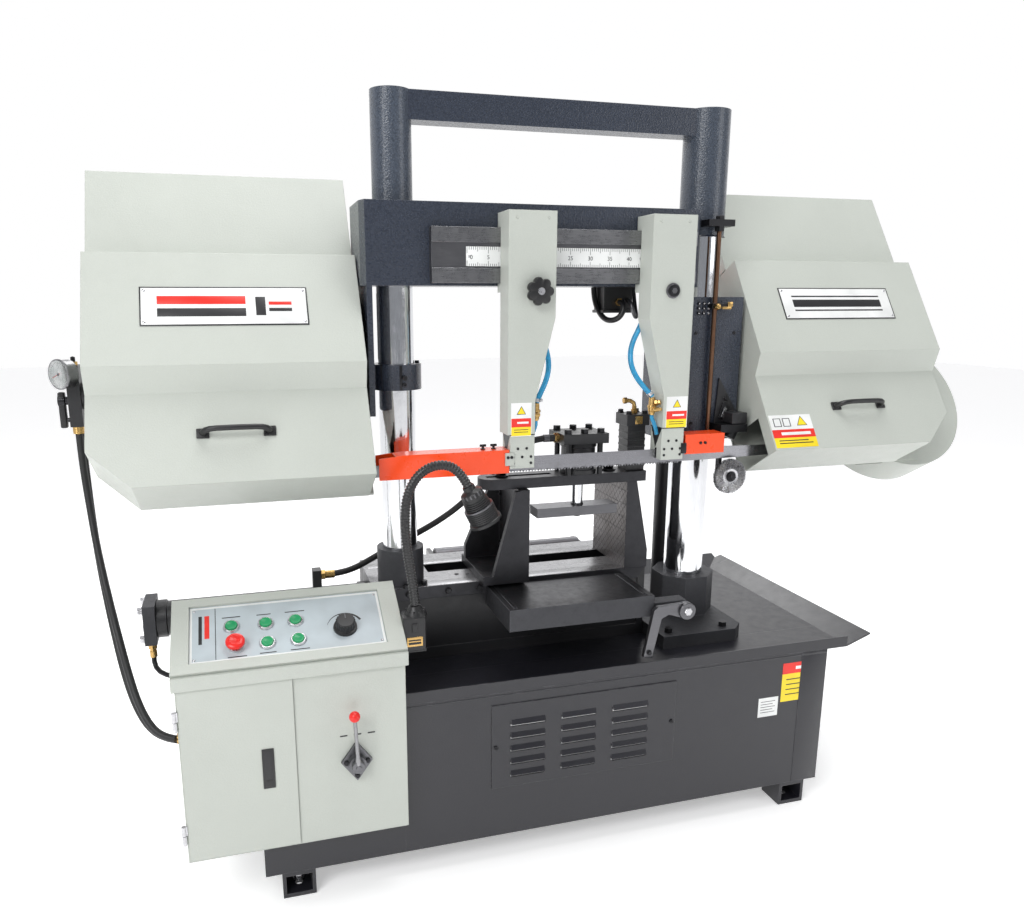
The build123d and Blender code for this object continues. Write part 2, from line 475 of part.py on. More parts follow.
# idler axle on its sliding block, pulled by the tension cylinder
put("tension_slide", W(lcyl(IX, KC, WB - 34, DEPTH + 10, 25) + lcyl(IX, KC, WB - 46, WB - 34, 30)))
tb = bx(IX - 60, IX + 60, DEPTH + 10, DEPTH + 56, KC - 45, KC + 45)
put("tension_slide", W(tb))
put("tension_slide", W(cx(-960, IX - 60, TW, KC, 11) + cx(-980, -960, TW, KC, 23.9)))
put("tension_cylinder", W(bx(IX - 125, IX + 135, DEPTH + PLATE, DEPTH + 56, KC + 45.4, KC + 62)), W(bx(IX - 125, IX + 135, DEPTH + PLATE, DEPTH + 56, KC - 62, KC - 45.4)))
tc = cx(-1052, -900, TW, KC, 30) - cx(-1040, -904, TW, KC, 24) - cx(-905, -899, TW, KC, 11.06)
put("tension_cylinder", W(tc))
TY = YR + KC * ST + TW * CT
TZ = ZR + KC * CT - TW * ST
put("tension_cylinder", bx(-1080, -1052.5, TY - 32, TY + 30, 1046, 1182) - cx(-1053, -1050, TY, TZ, 31))
GA = Pos(-1078, TY - 44, 1166) * Rot(0, 0, -42)
put("tension_cylinder", GA * (cy(0, -12, 12, 0, 31) + cy(0, -15, -12, 0, 33.5) + cy(0, 12, 22, 0, 8)))
th = cx(-1106, -1080.3, TY + 6, 1102, 9) + bx(-1106, -1090, TY - 3, TY + 15, 1040, 1122)
put("tension_handle", th)

# back plates and hoods
def backplate(x0, x1, k0, k1, slot):
    p = bx(x0, x1, DEPTH + 0.6, DEPTH + PLATE, k0, k1)
    return p - slot
bl = backplate(LCX0 + 2, -425, LID_BOT + 4, HOOD_TOP, bx(IX - 29, IX + 52, DEPTH - 1, DEPTH + PLATE + 1, KC - 27, KC + 27))
bl -= bx(LCX0 + 1, LCX0 + 92, DEPTH - 1, DEPTH + PLATE + 1, LID_BOT, LID_BOT + 84)
def hood(x0, x1):
    h = bx(x0, x1, STEP, DEPTH + 0.6, LID_TOP + 2, HOOD_TOP) - bx(x0 + SH, x1 - SH, STEP + SH, DEPTH + 3, LID_TOP, HOOD_TOP - SH)
    return h
hl = hood(LCX0, LCX1) - bx(LCX1 - 4, LCX1 + 1, WB - 28, WB + 28, KC + RC - 14, KC + RC + 14)
put("wheel_box_left", W(bl), W(hl))
br = backplate(546, RCX1, LID_BOT + 4, HOOD_TOP, lcyl(DX, KC, DEPTH - 1, DEPTH + PLATE + 1, 40))
hr = hood(RCX0, RCX1) - bx(RCX0 - 1, RCX0 + 4, WB - 28, WB + 28, KC + RC - 14, KC + RC + 14)
put("wheel_box_right", W(br), W(hr))
# upper blade guard behind the beam
ug = bx(LCX1 + 0.5, RCX0 - 0.5, WB - 26, WB + 26, KC + RC - 12, KC + RC + 12) - bx(LCX1, RCX0, WB - 24, WB + 24, KC + RC - 10, KC + RC + 10)
put("blade_guards", W(ug))

# hinged lids
def lid(x0, x1, chamf_left):
    pr = [(0, LID_TOP), (0, 0), (STEP, -42), (STEP, LID_BOT), (DEPTH, LID_BOT), (DEPTH, LID_TOP)]
    o = pyz(pr, x0, x1)
    pi = [(SH, LID_TOP - SH), (SH, 0.8), (STEP + SH, -41.2), (STEP + SH, LID_BOT + SH), (DEPTH + 5, LID_BOT + SH), (DEPTH + 5, LID_TOP - SH)]
    i = pyz(pi, x0 + SH, x1 - SH)
    c, h = 86.0, 82.0
    def wedge(d):
        if chamf_left:
            return pxz([(x0 - 1 - d, LID_BOT - 1 - d), (x0 + c + d * 1.4, LID_BOT - 1 - d), (x0 + c + d * 1.4, LID_BOT - 0.01 + 0), (x0 + d * 0, LID_BOT + h + d * 1.35), (x0 - 1 - d, LID_BOT + h + d * 1.35)], -5, DEPTH + 8)
        return pxz([(x1 + 1 + d, LID_BOT - 1 - d), (x1 - c - d * 1.4, LID_BOT - 1 - d), (x1 - c - d * 1.4, LID_BOT - 0.01 + 0), (x1, LID_BOT + h + d * 1.35), (x1 + 1 + d, LID_BOT + h + d * 1.35)], -5, DEPTH + 8)
    o -= wedge(0)
    i -= wedge(SH)
    s = o - i
    # top flange stops short of the hinge line, blade slot in the inner side wall
    s -= bx(x0 + SH, x1 - SH, STEP + 3, DEPTH + 1, LID_TOP - SH - 1, LID_TOP + 1)
    xs = x1 if chamf_left else x0
    s -= bx(xs - 4, xs + 4, 80, DEPTH + 1, LID_BOT + SH, LID_BOT + 104)
    return s
HY, HK = 38.0, LID_TOP + 5.5
def hinge_fixed(x0, x1):
    out = []
    for xa in (x0 + 60, x1 - 100):
        k = cx(xa, xa + 19, HY, HK, 5) + bx(xa, xa + 19, HY, STEP, HK - 2, HK + 4.9)
        out.append(W(k - cx(xa - 1, xa + 20, HY, HK, 2.56)))
    return out
def hinge_lid(x0, x1):
    out = []
    for xa in (x0 + 79.5, x1 - 80.5):
        k = cx(xa, xa + 20, HY, HK, 5) + bx(xa, xa + 20, HY - 4, HY + 4, LID_TOP, HK)
        out.append(W(k - cx(xa - 1, xa + 21, HY, HK, 2.56)))
    return out
def hinge_pin(x0, x1):
    return [W(cx(xa, xa + 40, HY, HK, 2.5)) for xa in (x0 + 60, x1 - 100)]
put("lid_left", W(lid(LCX0, LCX1, True)))
put("lid_right", W(lid(RCX0, RCX1, False)))
put("wheel_box_left", *hinge_fixed(LCX0, LCX1), *hinge_pin(LCX0, LCX1))
put("wheel_box_right", *hinge_fixed(RCX0, RCX1), *hinge_pin(RCX0, RCX1))
put("lid_left", *hinge_lid(LCX0, LCX1))
put("lid_right", *hinge_lid(RCX0, RCX1))
def pull(xa, xb, k):
    h = bx(xa, xb, STEP - 32, STEP - 22, k - 9, k + 9)
    h += bx(xa, xa + 16, STEP - 32, STEP, k - 9, k + 9) + bx(xb - 16, xb, STEP - 32, STEP, k - 9, k + 9)
    return W(h)
put("lid_left_trim", pull(-792, -650, -138))
put("lid_right_trim", pull(770, 912, -136))
def tag(x0, x1, k0, k1):
    return W(bx(x0, x1, -1.5, 0, k0, k1))
put("lid_left_trim", tag(-902, -553, 92, 187))
put("lid_right_trim", tag(665, 1008, 95, 189))

# drive: shaft, gearbox, round belt cover, motor
GB = DEPTH + PLATE
put("drive_wheel", W(lcyl(DX, KC, WB - 34, GB + 20, 25) + lcyl(DX, KC, WB - 46, WB - 34, 30)))
gbx = bx(DX - 95, DX + 72, GB, GB + 125, KC - 90, KC + 90) - lcyl(DX, KC, GB - 1, GB + 21, 25.06)
put("drive_unit", W(gbx))
DCX, DCK, DCR = 1118.0, -55.0, 205.0
dc = lcyl(DCX, DCK, GB, GB + 120, DCR) - lcyl(DCX, DCK, GB + 3, GB + 121, DCR - 3)
put("belt_cover", W(dc))
put("belt_cover", W(bx(912, 1000, GB, GB + 3, -249, -60) - lcyl(DCX, DCK, GB - 1, GB + 5, DCR)))
mo = lcyl(DCX, DCK, GB + 20, GB + 250, 68)
put("drive_unit", W(fuse(mo, bx(DCX - 45, DCX + 45, GB + 126, GB + 200, DCK + 60, DCK + 105))))

# brush and its bracket
put("blade_brush", cy(490, -196, -178, 880, 46) + cy(490, -206, -168, 880, 9))
bb = bx(470, 478, -166, -150, 865, 1010) + bx(470, 547, -166, -112.5, 990, 1010) + cy(490, -166, -150, 880, 16)
bb += bx(470, 490, -166, -150, 868, 892)
put("frame_hardware", bb - cy(490, -167, -149, 880, 9.06))

# limit rod beside the right column, hung from the tube
lr = cz(456, -124, 985, 1500, 6)
put("frame_hardware", lr)
hbk = bx(420, 492, -136, -97, 1500, 1516) - cz(RX, COL_Y, 1490, 1520, RTR)
put("frame_hardware", hbk)
put("frame_hardware", hexz(456, -124, 1488, 1500, 22) - cz(456, -124, 1480, 1501, 6.0))
clp = bx(444, 500, -134, -112, 1302, 1314) - cz(456, -124, 1300, 1316, 6.05)
put("frame_hardware", clp)

# solenoid box under the beam
put("frame_hardware", bx(190, 268, -40, 20, 1295, 1355))


# coolant: taps on the arms, clips behind them, soft hoses between
put("guide_arm_left", fuse(cz(-43, -190, 1050, 1084, 8), bx(-53.9, -43, -195, -185, 1056, 1066), cz(-43, -190, 1066, 1072, 11)))
put("guide_arm_left", bx(-47, -29, -154.9, -139, 1290, 1304))
put("guide_arm_right", fuse(cz(258, -190, 1052, 1088, 8), bx(258, 275.9, -195, -185, 1056, 1066), cz(258, -190, 1066, 1072, 11)))
put("guide_arm_right", bx(239, 257, -154.9, -139, 1290, 1304))
CL = [(-38, -147, 1288.4), (-34, -147, 1268), (-22, -147.5, 1244), (-9, -150, 1219), (-2, -157, 1191), (-4, -167, 1163), (-15, -177, 1135), (-31, -186, 1110), (-43, -190, 1087.4)]
put("press_hose", route(PH, 8.0, show="press hose"))
put("coolant_hose_left", route(CL, 6.5, show="coolant left"))
CR = [(248, -147, 1288.4), (244, -147, 1270), (233, -147.5, 1248), (220, -150, 1225), (211, -156, 1199), (209, -165, 1171), (217, -175, 1144), (236, -185, 1116), (258, -190, 1094.0)]
put("coolant_hose_right", route(CR, 6.5, show="coolant right"))
put("tension_cylinder", cz(-1066, 18, 1030, 1045.9, 12), cz(-1066, 48, 1030, 1045.9, 12))
put("cabinet_shell", cx(CX0 - 12, CX0 - 0.1, -272, 398, 12), cx(CX0 - 12, CX0 - 0.1, -236, 376, 12))
H1 = [(-1066, 18, 1029.7), (-1066, 18, 985), (-1063, 12, 922), (-1056, -4, 852), (-1047, -29, 782), (-1034, -60, 713), (-1019, -95, 645), (-1003, -131, 580), (-986, -170, 518), (-967, -209, 462), (-942, -243, 420), (-914, -265, 402), (-889.6, -272, 398)]
H2 = [(-1066, 48, 1029.7), (-1066, 48, 985), (-1064, 43, 921), (-1060, 28, 851), (-1053, 4, 780), (-1043, -27, 710), (-1030, -62, 640), (-1016, -98, 574), (-1000, -137, 510), (-980, -175, 451), (-953, -209, 405), (-919, -229, 381), (-889.6, -236, 376)]
put("hydraulic_hose_1", route(H1, 8.0, show="hydraulic 1"))
put("hydraulic_hose_2", route(H2, 8.0, show="hydraulic 2"))

print(len(NODES), "nodes")
for name, solids in NODES.items():
    shape = solids[0] if len(solids) == 1 else Compound(children=solids)
    export_step(shape, "parts/%s.step" % name)
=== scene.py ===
import bpy, bmesh, math, random
from mathutils import Vector, Matrix, Euler


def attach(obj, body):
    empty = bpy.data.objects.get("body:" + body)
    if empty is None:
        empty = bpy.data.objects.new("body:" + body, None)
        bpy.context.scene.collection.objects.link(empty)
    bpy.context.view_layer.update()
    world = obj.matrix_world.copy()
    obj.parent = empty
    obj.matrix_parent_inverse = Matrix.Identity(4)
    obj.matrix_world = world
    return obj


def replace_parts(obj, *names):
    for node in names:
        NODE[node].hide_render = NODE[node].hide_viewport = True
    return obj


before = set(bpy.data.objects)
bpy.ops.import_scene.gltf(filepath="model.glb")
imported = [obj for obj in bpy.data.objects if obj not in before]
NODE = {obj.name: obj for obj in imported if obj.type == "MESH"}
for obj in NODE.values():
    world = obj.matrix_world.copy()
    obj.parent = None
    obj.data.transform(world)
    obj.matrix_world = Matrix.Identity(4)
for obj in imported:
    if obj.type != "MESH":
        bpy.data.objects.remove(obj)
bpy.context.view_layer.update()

rnd = random.Random(11)

# ------------------------------------------------------------------ camera, light, floor
cam_d = bpy.data.cameras.new("cam")
cam = bpy.data.objects.new("cam", cam_d)
bpy.context.scene.collection.objects.link(cam)
cam_d.sensor_width = 36.0
cam_d.lens = 28.94
cam_d.shift_x = 0.0348
cam_d.shift_y = 0.0276
cam_d.clip_end = 60
yaw, pitch, roll = math.radians(15.86), math.radians(12.75), math.radians(-0.1)
f = Vector((math.sin(yaw) * math.cos(pitch), math.cos(yaw) * math.cos(pitch), -math.sin(pitch)))
r = Vector((math.cos(yaw), -math.sin(yaw), 0))
u = r.cross(f)
R = Matrix((r, u, -f)).transposed()
cam.matrix_world = Matrix.Translation((-0.705, -2.006, 1.320)) @ (R @ Matrix.Rotation(roll, 3, "Z")).to_4x4()
bpy.context.scene.camera = cam
bpy.context.scene.view_settings.view_transform = "Standard"

def area(name, loc, to, size, power, col=(1, 1, 1)):
    d = bpy.data.lights.new(name, "AREA")
    d.shape = "RECTANGLE"
    d.size, d.size_y = size
    d.energy = power
    d.color = col
    o = bpy.data.objects.new(name, d)
    bpy.context.scene.collection.objects.link(o)
    o.location = loc
    o.rotation_euler = (Vector(to) - Vector(loc)).to_track_quat("-Z", "Y").to_euler()
    return o
area("key", (-2.9, -3.2, 3.9), (-0.1, 0, 0.9), (2.2, 2.2), 118)
area("fill", (3.4, -3.2, 2.4), (0.2, 0, 0.9), (1.8, 1.8), 26)
area("strip", (-3.1, -2.3, 1.5), (0, 0, 1.1), (0.35, 2.4), 14)
area("top", (0.1, 0.1, 4.4), (0, 0, 0.6), (3.4, 1.6), 92)
area("back", (0.6, 3.4, 3.2), (0, 0, 1.0), (3.0, 1.2), 40)
world = bpy.data.worlds.new("w")
bpy.context.scene.world = world
world.use_nodes = True
wn = world.node_tree
bg = wn.nodes["Background"]
tcw = wn.nodes.new("ShaderNodeTexCoord")
sep = wn.nodes.new("ShaderNodeSeparateXYZ")
mapr = wn.nodes.new("ShaderNodeMapRange")
mapr.inputs["From Min"].default_value = -1
mapr.inputs["From Max"].default_value = 1
rampw = wn.nodes.new("ShaderNodeValToRGB")
wn.links.new(tcw.outputs["Generated"], sep.inputs[0])
wn.links.new(sep.outputs["Y"], mapr.inputs["Value"])
wn.links.new(mapr.outputs[0], rampw.inputs[0])
cr = rampw.color_ramp
cr.elements[0].position, cr.elements[0].color = 0.0, (0.30, 0.31, 0.33, 1)
cr.elements[1].position, cr.elements[1].color = 1.0, (1, 1, 1, 1)
for p_, v_ in ((0.30, 0.26), (0.46, 0.22), (0.50, 0.42), (0.54, 0.62), (0.66, 1.0)):
    e = cr.elements.new(p_); e.color = (v_, v_, v_ * 1.02, 1)
wn.links.new(rampw.outputs[0], bg.inputs["Color"])
bg.inputs["Strength"].default_value = 1.0

# ------------------------------------------------------------------ materials
class Mt:
    def __init__(self, name):
        self.m = bpy.data.materials.new(name)
        self.m.use_nodes = True
        self.t = self.m.node_tree
        self.n = self.t.nodes
        self.b = self.n["Principled BSDF"]
        self.tc = self.n.new("ShaderNodeTexCoord")
    def link(self, a, b):
        self.t.links.new(a, b)
    def mapping(self, scale=(1, 1, 1), rot=(0, 0, 0)):
        mp = self.n.new("ShaderNodeMapping")
        mp.inputs["Scale"].default_value = scale
        mp.inputs["Rotation"].default_value = rot
        self.link(self.tc.outputs["Object"], mp.inputs[0])
        return mp.outputs[0]
    def noise(self, scale, detail=2.0, rough=0.5, vec=None, dist=0.0):
        x = self.n.new("ShaderNodeTexNoise")
        x.inputs["Scale"].default_value = scale
        x.inputs["Detail"].default_value = detail
        x.inputs["Roughness"].default_value = rough
        x.inputs["Distortion"].default_value = dist
        self.link(vec or self.tc.outputs["Object"], x.inputs["Vector"])
        return x.outputs["Fac"]
    def voronoi(self, scale, vec=None, feature="F1"):
        x = self.n.new("ShaderNodeTexVoronoi")
        x.feature = feature
        x.inputs["Scale"].default_value = scale
        self.link(vec or self.tc.outputs["Object"], x.inputs["Vector"])
        return x.outputs["Distance"]
    def rng(self, src, a, b, c, d):
        x = self.n.new("ShaderNodeMapRange")
        x.inputs["From Min"].default_value = a
        x.inputs["From Max"].default_value = b
        x.inputs["To Min"].default_value = c
        x.inputs["To Max"].default_value = d
        self.link(src, x.inputs["Value"])
        return x.outputs[0]
    def mix(self, fac, a, b):
        x = self.n.new("ShaderNodeMix")
        x.data_type = "RGBA"
        self.link(fac, x.inputs["Factor"])
        for v, k in ((a, "A"), (b, "B")):
            s = [i for i in x.inputs if i.name == k and i.type == "RGBA"][0]
            if isinstance(v, tuple):
                s.default_value = v + (1,) if len(v) == 3 else v
            else:
                self.link(v, s)
        return [o for o in x.outputs if o.type == "RGBA"][0]
    def math(self, op, a, b=None):
        x = self.n.new("ShaderNodeMath")
        x.operation = op
        for i, v in enumerate((a, b)):
            if v is None:
                continue
            if isinstance(v, (int, float)):
                x.inputs[i].default_value = v
            else:
                self.link(v, x.inputs[i])
        return x.outputs[0]
    def bevel(self, radius):
        x = self.n.new("ShaderNodeBevel")
        x.samples = 4
        x.inputs["Radius"].default_value = radius
        return x.outputs[0]
    def edge(self, radius):
        # 0 on flats, rising near edges
        bv = self.bevel(radius)
        g = self.n.new("ShaderNodeNewGeometry")
        d = self.n.new("ShaderNodeVectorMath")
        d.operation = "DOT_PRODUCT"
        self.link(bv, d.inputs[0])
        self.link(g.outputs["Normal"], d.inputs[1])
        return self.rng(d.outputs["Value"], 1.0, 0.80, 0.0, 1.0), bv
    def bump(self, height, strength, distance, normal=None):
        x = self.n.new("ShaderNodeBump")
        x.inputs["Strength"].default_value = strength
        x.inputs["Distance"].default_value = distance
        self.link(height, x.inputs["Height"])
        if normal is not None:
            self.link(normal, x.inputs["Normal"])
        return x.outputs[0]
    def col(self, src):
        self.link(src, self.b.inputs["Base Color"])
    def rough(self, src):
        self.link(src, self.b.inputs["Roughness"])
    def nrm(self, src):
        self.link(src, self.b.inputs["Normal"])

def sc(c, k):
    return tuple(min(1.0, x * k) for x in c)

def powder(name, c, rough=0.42, grain=700, bump=0.35, bev=0.002, spec=0.5, dirt=0.10, coat=0.0, edge_col=None):
    m = Mt(name)
    big = m.noise(2.2, 4, 0.6)
    fine = m.noise(grain, 2, 0.6)
    mid = m.noise(38, 4, 0.6)
    base = m.mix(m.rng(big, 0.3, 0.7, 0, 1), sc(c, 1 - dirt), sc(c, 1.03))
    base = m.mix(m.rng(fine, 0.35, 0.7, 0, 0.5), base, sc(c, 1.12))
    ed, bv = m.edge(bev)
    # lighter colour along edges in noisy spots: partly edge wear, partly painted edge highlight
    edge_wear_and_highlight = m.math("MULTIPLY", ed, m.rng(mid, 0.45, 0.7, 0.15, 0.8))
    base = m.mix(edge_wear_and_highlight, base, edge_col or sc(c, 1.25))
    m.col(base)
    m.rough(m.rng(mid, 0.3, 0.7, rough - 0.06, rough + 0.08))
    orange = m.noise(grain * 0.45, 1, 0.5)
    m.nrm(m.bump(fine, bump, 0.0005, m.bump(orange, bump * 0.8, 0.0008, bv)))
    m.b.inputs["Specular IOR Level"].default_value = spec
    if coat:
        m.b.inputs["Coat Weight"].default_value = coat
        m.b.inputs["Coat Roughness"].default_value = 0.2
    return m.m

def hammer(name, c, cell=300):
    m = Mt(name)
    v = m.voronoi(cell, None, "SMOOTH_F1")
    big = m.noise(3, 3)
    mid = m.noise(cell * 0.5, 3, 0.6)
    ed, bv = m.edge(0.0025)
    base = m.mix(m.rng(v, 0.1, 0.75, 0, 1), sc(c, 1.5), sc(c, 0.75))
    base = m.mix(m.rng(big, 0.3, 0.7, 0, 0.5), base, sc(c, 0.8))
    # edges painted much lighter: painted edge highlight, with some edge wear
    base = m.mix(m.rng(ed, 0, 1, 0, 0.35), base, sc(c, 2.4))
    m.col(base)
    m.rough(m.rng(mid, 0.3, 0.7, 0.22, 0.40))
    m.nrm(m.bump(v, 0.75, 0.0012, m.bump(mid, 0.3, 0.0008, bv)))
    m.b.inputs["Coat Weight"].default_value = 0.35
    m.b.inputs["Coat Roughness"].default_value = 0.16
    return m.m

def metal(name, c, rough=0.3, brush=(1, 60, 60), bscale=30, bump=0.12, metallic=1.0, stain=0.35, bev=0.0012, edge_k=1.35, aniso=0.0):
    m = Mt(name)
    br = m.noise(bscale, 6, 0.65, m.mapping(brush))
    big = m.noise(7, 4, 0.6)
    spot = m.noise(45, 5, 0.7)
    ed, bv = m.edge(bev)
    base = m.mix(m.rng(br, 0.3, 0.7, 0, 1), sc(c, 0.86), sc(c, 1.1))
    base = m.mix(m.rng(big, 0.35, 0.7, 0, stain), base, sc(c, 0.62))
    base = m.mix(m.rng(spot, 0.6, 0.8, 0, stain), base, sc((c[0], c[1] * 0.93, c[2] * 0.84), 0.6))
    # edges lightened by edge_k: partly edge wear, partly painted edge highlight
    base = m.mix(m.rng(ed, 0, 1, 0, 0.6), base, sc(c, edge_k))
    m.col(base)
    m.b.inputs["Metallic"].default_value = metallic
    m.rough(m.math("ADD", m.rng(br, 0.3, 0.7, rough - 0.07, rough + 0.07), m.rng(spot, 0.4, 0.8, -0.03, 0.1)))
    m.nrm(m.bump(br, bump, 0.0004, bv))
    if aniso:
        m.b.inputs["Anisotropic"].default_value = aniso
    return m.m

def plastic(name, c, rough=0.38, grain=1500, bump=0.2, bev=0.0012, spec=0.5):
    m = Mt(name)
    g = m.noise(grain, 2)
    big = m.noise(12, 3)
    ed, bv = m.edge(bev)
    base = m.mix(m.rng(big, 0.3, 0.7, 0, 1), sc(c, 0.9), sc(c, 1.12))
    # edges painted lighter: painted edge highlight, partly rubbed wear
    base = m.mix(m.rng(ed, 0, 1, 0, 0.3), base, sc(c, 1.6))
    m.col(base)
    m.rough(m.rng(big, 0.3, 0.7, rough - 0.05, rough + 0.07))
    m.nrm(m.bump(g, bump, 0.0003, bv))
    m.b.inputs["Specular IOR Level"].default_value = spec
    return m.m

M = {}
M["light"] = powder("powder_light", (0.492, 0.518, 0.474), 0.40, 620, 0.45, 0.0025, dirt=0.06)
M["slate"] = hammer("hammer_slate", (0.026, 0.033, 0.050))
# lighter copy of the slate paint for the column tubes: painted highlight standing in for the gloss highlight on the
# tubes
M["slate_painted_highlight"] = hammer("hammer_slate_painted_highlight", (0.048, 0.060, 0.082))
M["char"] = powder("powder_charcoal", (0.014, 0.014, 0.019), 0.34, 520, 0.35, 0.003, coat=0.25, edge_col=(0.16, 0.16, 0.17))
M["orange"] = powder("enamel_orange", (1.0, 0.070, 0.004), 0.30, 420, 0.12, 0.0015, coat=0.4, edge_col=(1.0, 0.30, 0.14))
M["black"] = powder("enamel_black", (0.018, 0.018, 0.020), 0.38, 500, 0.25, 0.002, edge_col=(0.12, 0.12, 0.125))
M["cast"] = metal("ground_cast", (0.055, 0.055, 0.060), 0.42, (1, 1, 1), 60, 0.25, 0.85, 0.5, 0.002, 2.2)
M["castrough"] = metal("rough_cast", (0.070, 0.071, 0.078), 0.55, (1, 1, 1), 160, 0.9, 0.6, 0.45, 0.003, 2.0)
M["steel"] = metal("milled_steel", (0.30, 0.30, 0.31), 0.30, (2, 60, 60), 16, 0.12)
M["steeld"] = metal("dark_steel", (0.16, 0.16, 0.17), 0.36, (2, 50, 50), 16, 0.15, 0.9)
M["oxide"] = metal("black_oxide", (0.035, 0.035, 0.038), 0.34, (1, 1, 1), 60, 0.15, 0.8, 0.4, 0.001, 3.0)
M["chrome"] = metal("hard_chrome", (0.78, 0.79, 0.81), 0.10, (60, 60, 1.5), 20, 0.03, 1.0, 0.18, 0.0015, 1.1)
M["zinc"] = metal("zinc", (0.62, 0.62, 0.64), 0.28, (1, 1, 1), 90, 0.1, 1.0, 0.25, 0.0008, 1.2)
M["wirecore"] = metal("wire_core", (0.40, 0.38, 0.35), 0.42, (1, 1, 1), 260, 1.0, 1.0, 0.4, 0.001, 1.2)
M["alu"] = metal("alu_plate", (0.56, 0.59, 0.60), 0.36, (2, 90, 90), 12, 0.06, 0.55, 0.15, 0.001, 1.2)
M["brass"] = metal("brass", (0.62, 0.40, 0.15), 0.27, (1, 1, 1), 80, 0.12, 1.0, 0.45, 0.0008, 1.3)
M["copper"] = metal("copper_rod", (0.22, 0.12, 0.075), 0.34, (60, 60, 1), 12, 0.15, 1.0, 0.5, 0.0008, 1.5)
M["band"] = metal("band_steel", (0.30, 0.30, 0.32), 0.30, (1, 30, 60), 20, 0.1, 1.0, 0.35, 0.0003, 1.3)
M["pblack"] = plastic("plastic_black", (0.016, 0.016, 0.017), 0.36)
M["lampneck"] = plastic("neck_black", (0.022, 0.022, 0.023), 0.27, 1400, 0.15, 0.0006, 0.6)
M["pgrey"] = plastic("plastic_grey", (0.11, 0.115, 0.12), 0.45)
M["green"] = plastic("cap_green", (0.015, 0.30, 0.11), 0.26, 800, 0.08)
M["red"] = plastic("cap_red", (0.72, 0.018, 0.014), 0.24, 800, 0.08)
M["white"] = plastic("print_white", (0.80, 0.81, 0.80), 0.34, 900, 0.05, 0.0004)
M["ink"] = plastic("print_dark", (0.02, 0.02, 0.022), 0.4, 900, 0.05, 0.0004)
M["yellow"] = plastic("print_yellow", (0.90, 0.68, 0.02), 0.34, 900, 0.05, 0.0004)
M["pred"] = plastic("print_red", (0.78, 0.03, 0.02), 0.34, 900, 0.05, 0.0004)
M["panel"] = plastic("panel_film", (0.47, 0.53, 0.56), 0.40, 700, 0.12, 0.0006)
M["rubber"] = plastic("hose_rubber", (0.012, 0.012, 0.013), 0.48, 1400, 0.3)

def glassy(name, c, alpha_rough=0.08, trans=0.75):
    m = Mt(name)
    big = m.noise(60, 3)
    m.col(m.mix(m.rng(big, 0.3, 0.7, 0, 1), sc(c, 0.85), sc(c, 1.15)))
    m.rough(m.rng(big, 0.3, 0.7, alpha_rough, alpha_rough + 0.08))
    m.b.inputs["Transmission Weight"].default_value = trans
    m.b.inputs["IOR"].default_value = 1.42
    m.nrm(m.bump(m.noise(400, 2), 0.05, 0.0003))
    return m.m
M["hose"] = glassy("hose_blue", (0.06, 0.42, 0.72), 0.10, 0.45)
M["glass"] = glassy("glass", (0.92, 0.95, 0.95), 0.03, 0.9)

# diamond-hatched jaw face
def hatch():
    m = Mt("jaw_face")
    w1 = m.n.new("ShaderNodeTexWave"); w2 = m.n.new("ShaderNodeTexWave")
    for w, a in ((w1, 0.785), (w2, -0.785)):
        w.wave_type = "BANDS"; w.bands_direction = "Y"; w.wave_profile = "SAW"
        w.inputs["Scale"].default_value = 22
        m.link(m.mapping((1, 1, 1), (a, 0, 0)), w.inputs["Vector"])
    h = m.math("MINIMUM", m.rng(w1.outputs["Fac"], 0, 0.12, 0, 1), m.rng(w2.outputs["Fac"], 0, 0.12, 0, 1))
    c = (0.17, 0.16, 0.16)
    big = m.noise(9, 4)
    base = m.mix(h, sc(c, 0.35), c)
    base = m.mix(m.rng(big, 0.35, 0.7, 0, 0.5), base, (0.11, 0.095, 0.085))
    m.col(base)
    m.b.inputs["Metallic"].default_value = 0.8
    m.rough(m.rng(big, 0.3, 0.7, 0.36, 0.5))
    m.nrm(m.bump(h, 0.8, 0.001, m.bevel(0.001)))
    return m.m
M["hatch"] = hatch()

# floor
fm = Mt("floor")
fb = fm.noise(1.2, 3)
fm.col(fm.mix(fm.rng(fb, 0.3, 0.7, 0, 1), (0.90, 0.90, 0.90), (0.93, 0.93, 0.93)))
fm.rough(fm.rng(fb, 0.3, 0.7, 0.65, 0.75))
bmf = bmesh.new()
bmesh.ops.create_grid(bmf, x_segments=2, y_segments=2, size=14)
me = bpy.data.meshes.new("floor"); bmf.to_mesh(me)
floor = bpy.data.objects.new("floor", me)
bpy.context.scene.collection.objects.link(floor)
floor.location = (0, 3, -0.0005)
fm.b.inputs["Emission Color"].default_value = (1, 1, 1, 1)
fm.b.inputs["Emission Strength"].default_value = 0.38
me.materials.append(fm.m)

# ------------------------------------------------------------------ painting the CAD nodes
def paint(node, main, *rules):
    o = NODE[node]
    me = o.data
    me.materials.clear()
    me.materials.append(M[main])
    idx = {main: 0}
    for test, mat in rules:
        if mat not in idx:
            idx[mat] = len(me.materials)
            me.materials.append(M[mat])
    for p in me.polygons:
        c = p.center * 1000.0
        n = p.normal
        p.material_index = 0
        for test, mat in rules:
            if test(c, n):
                p.material_index = idx[mat]
                break

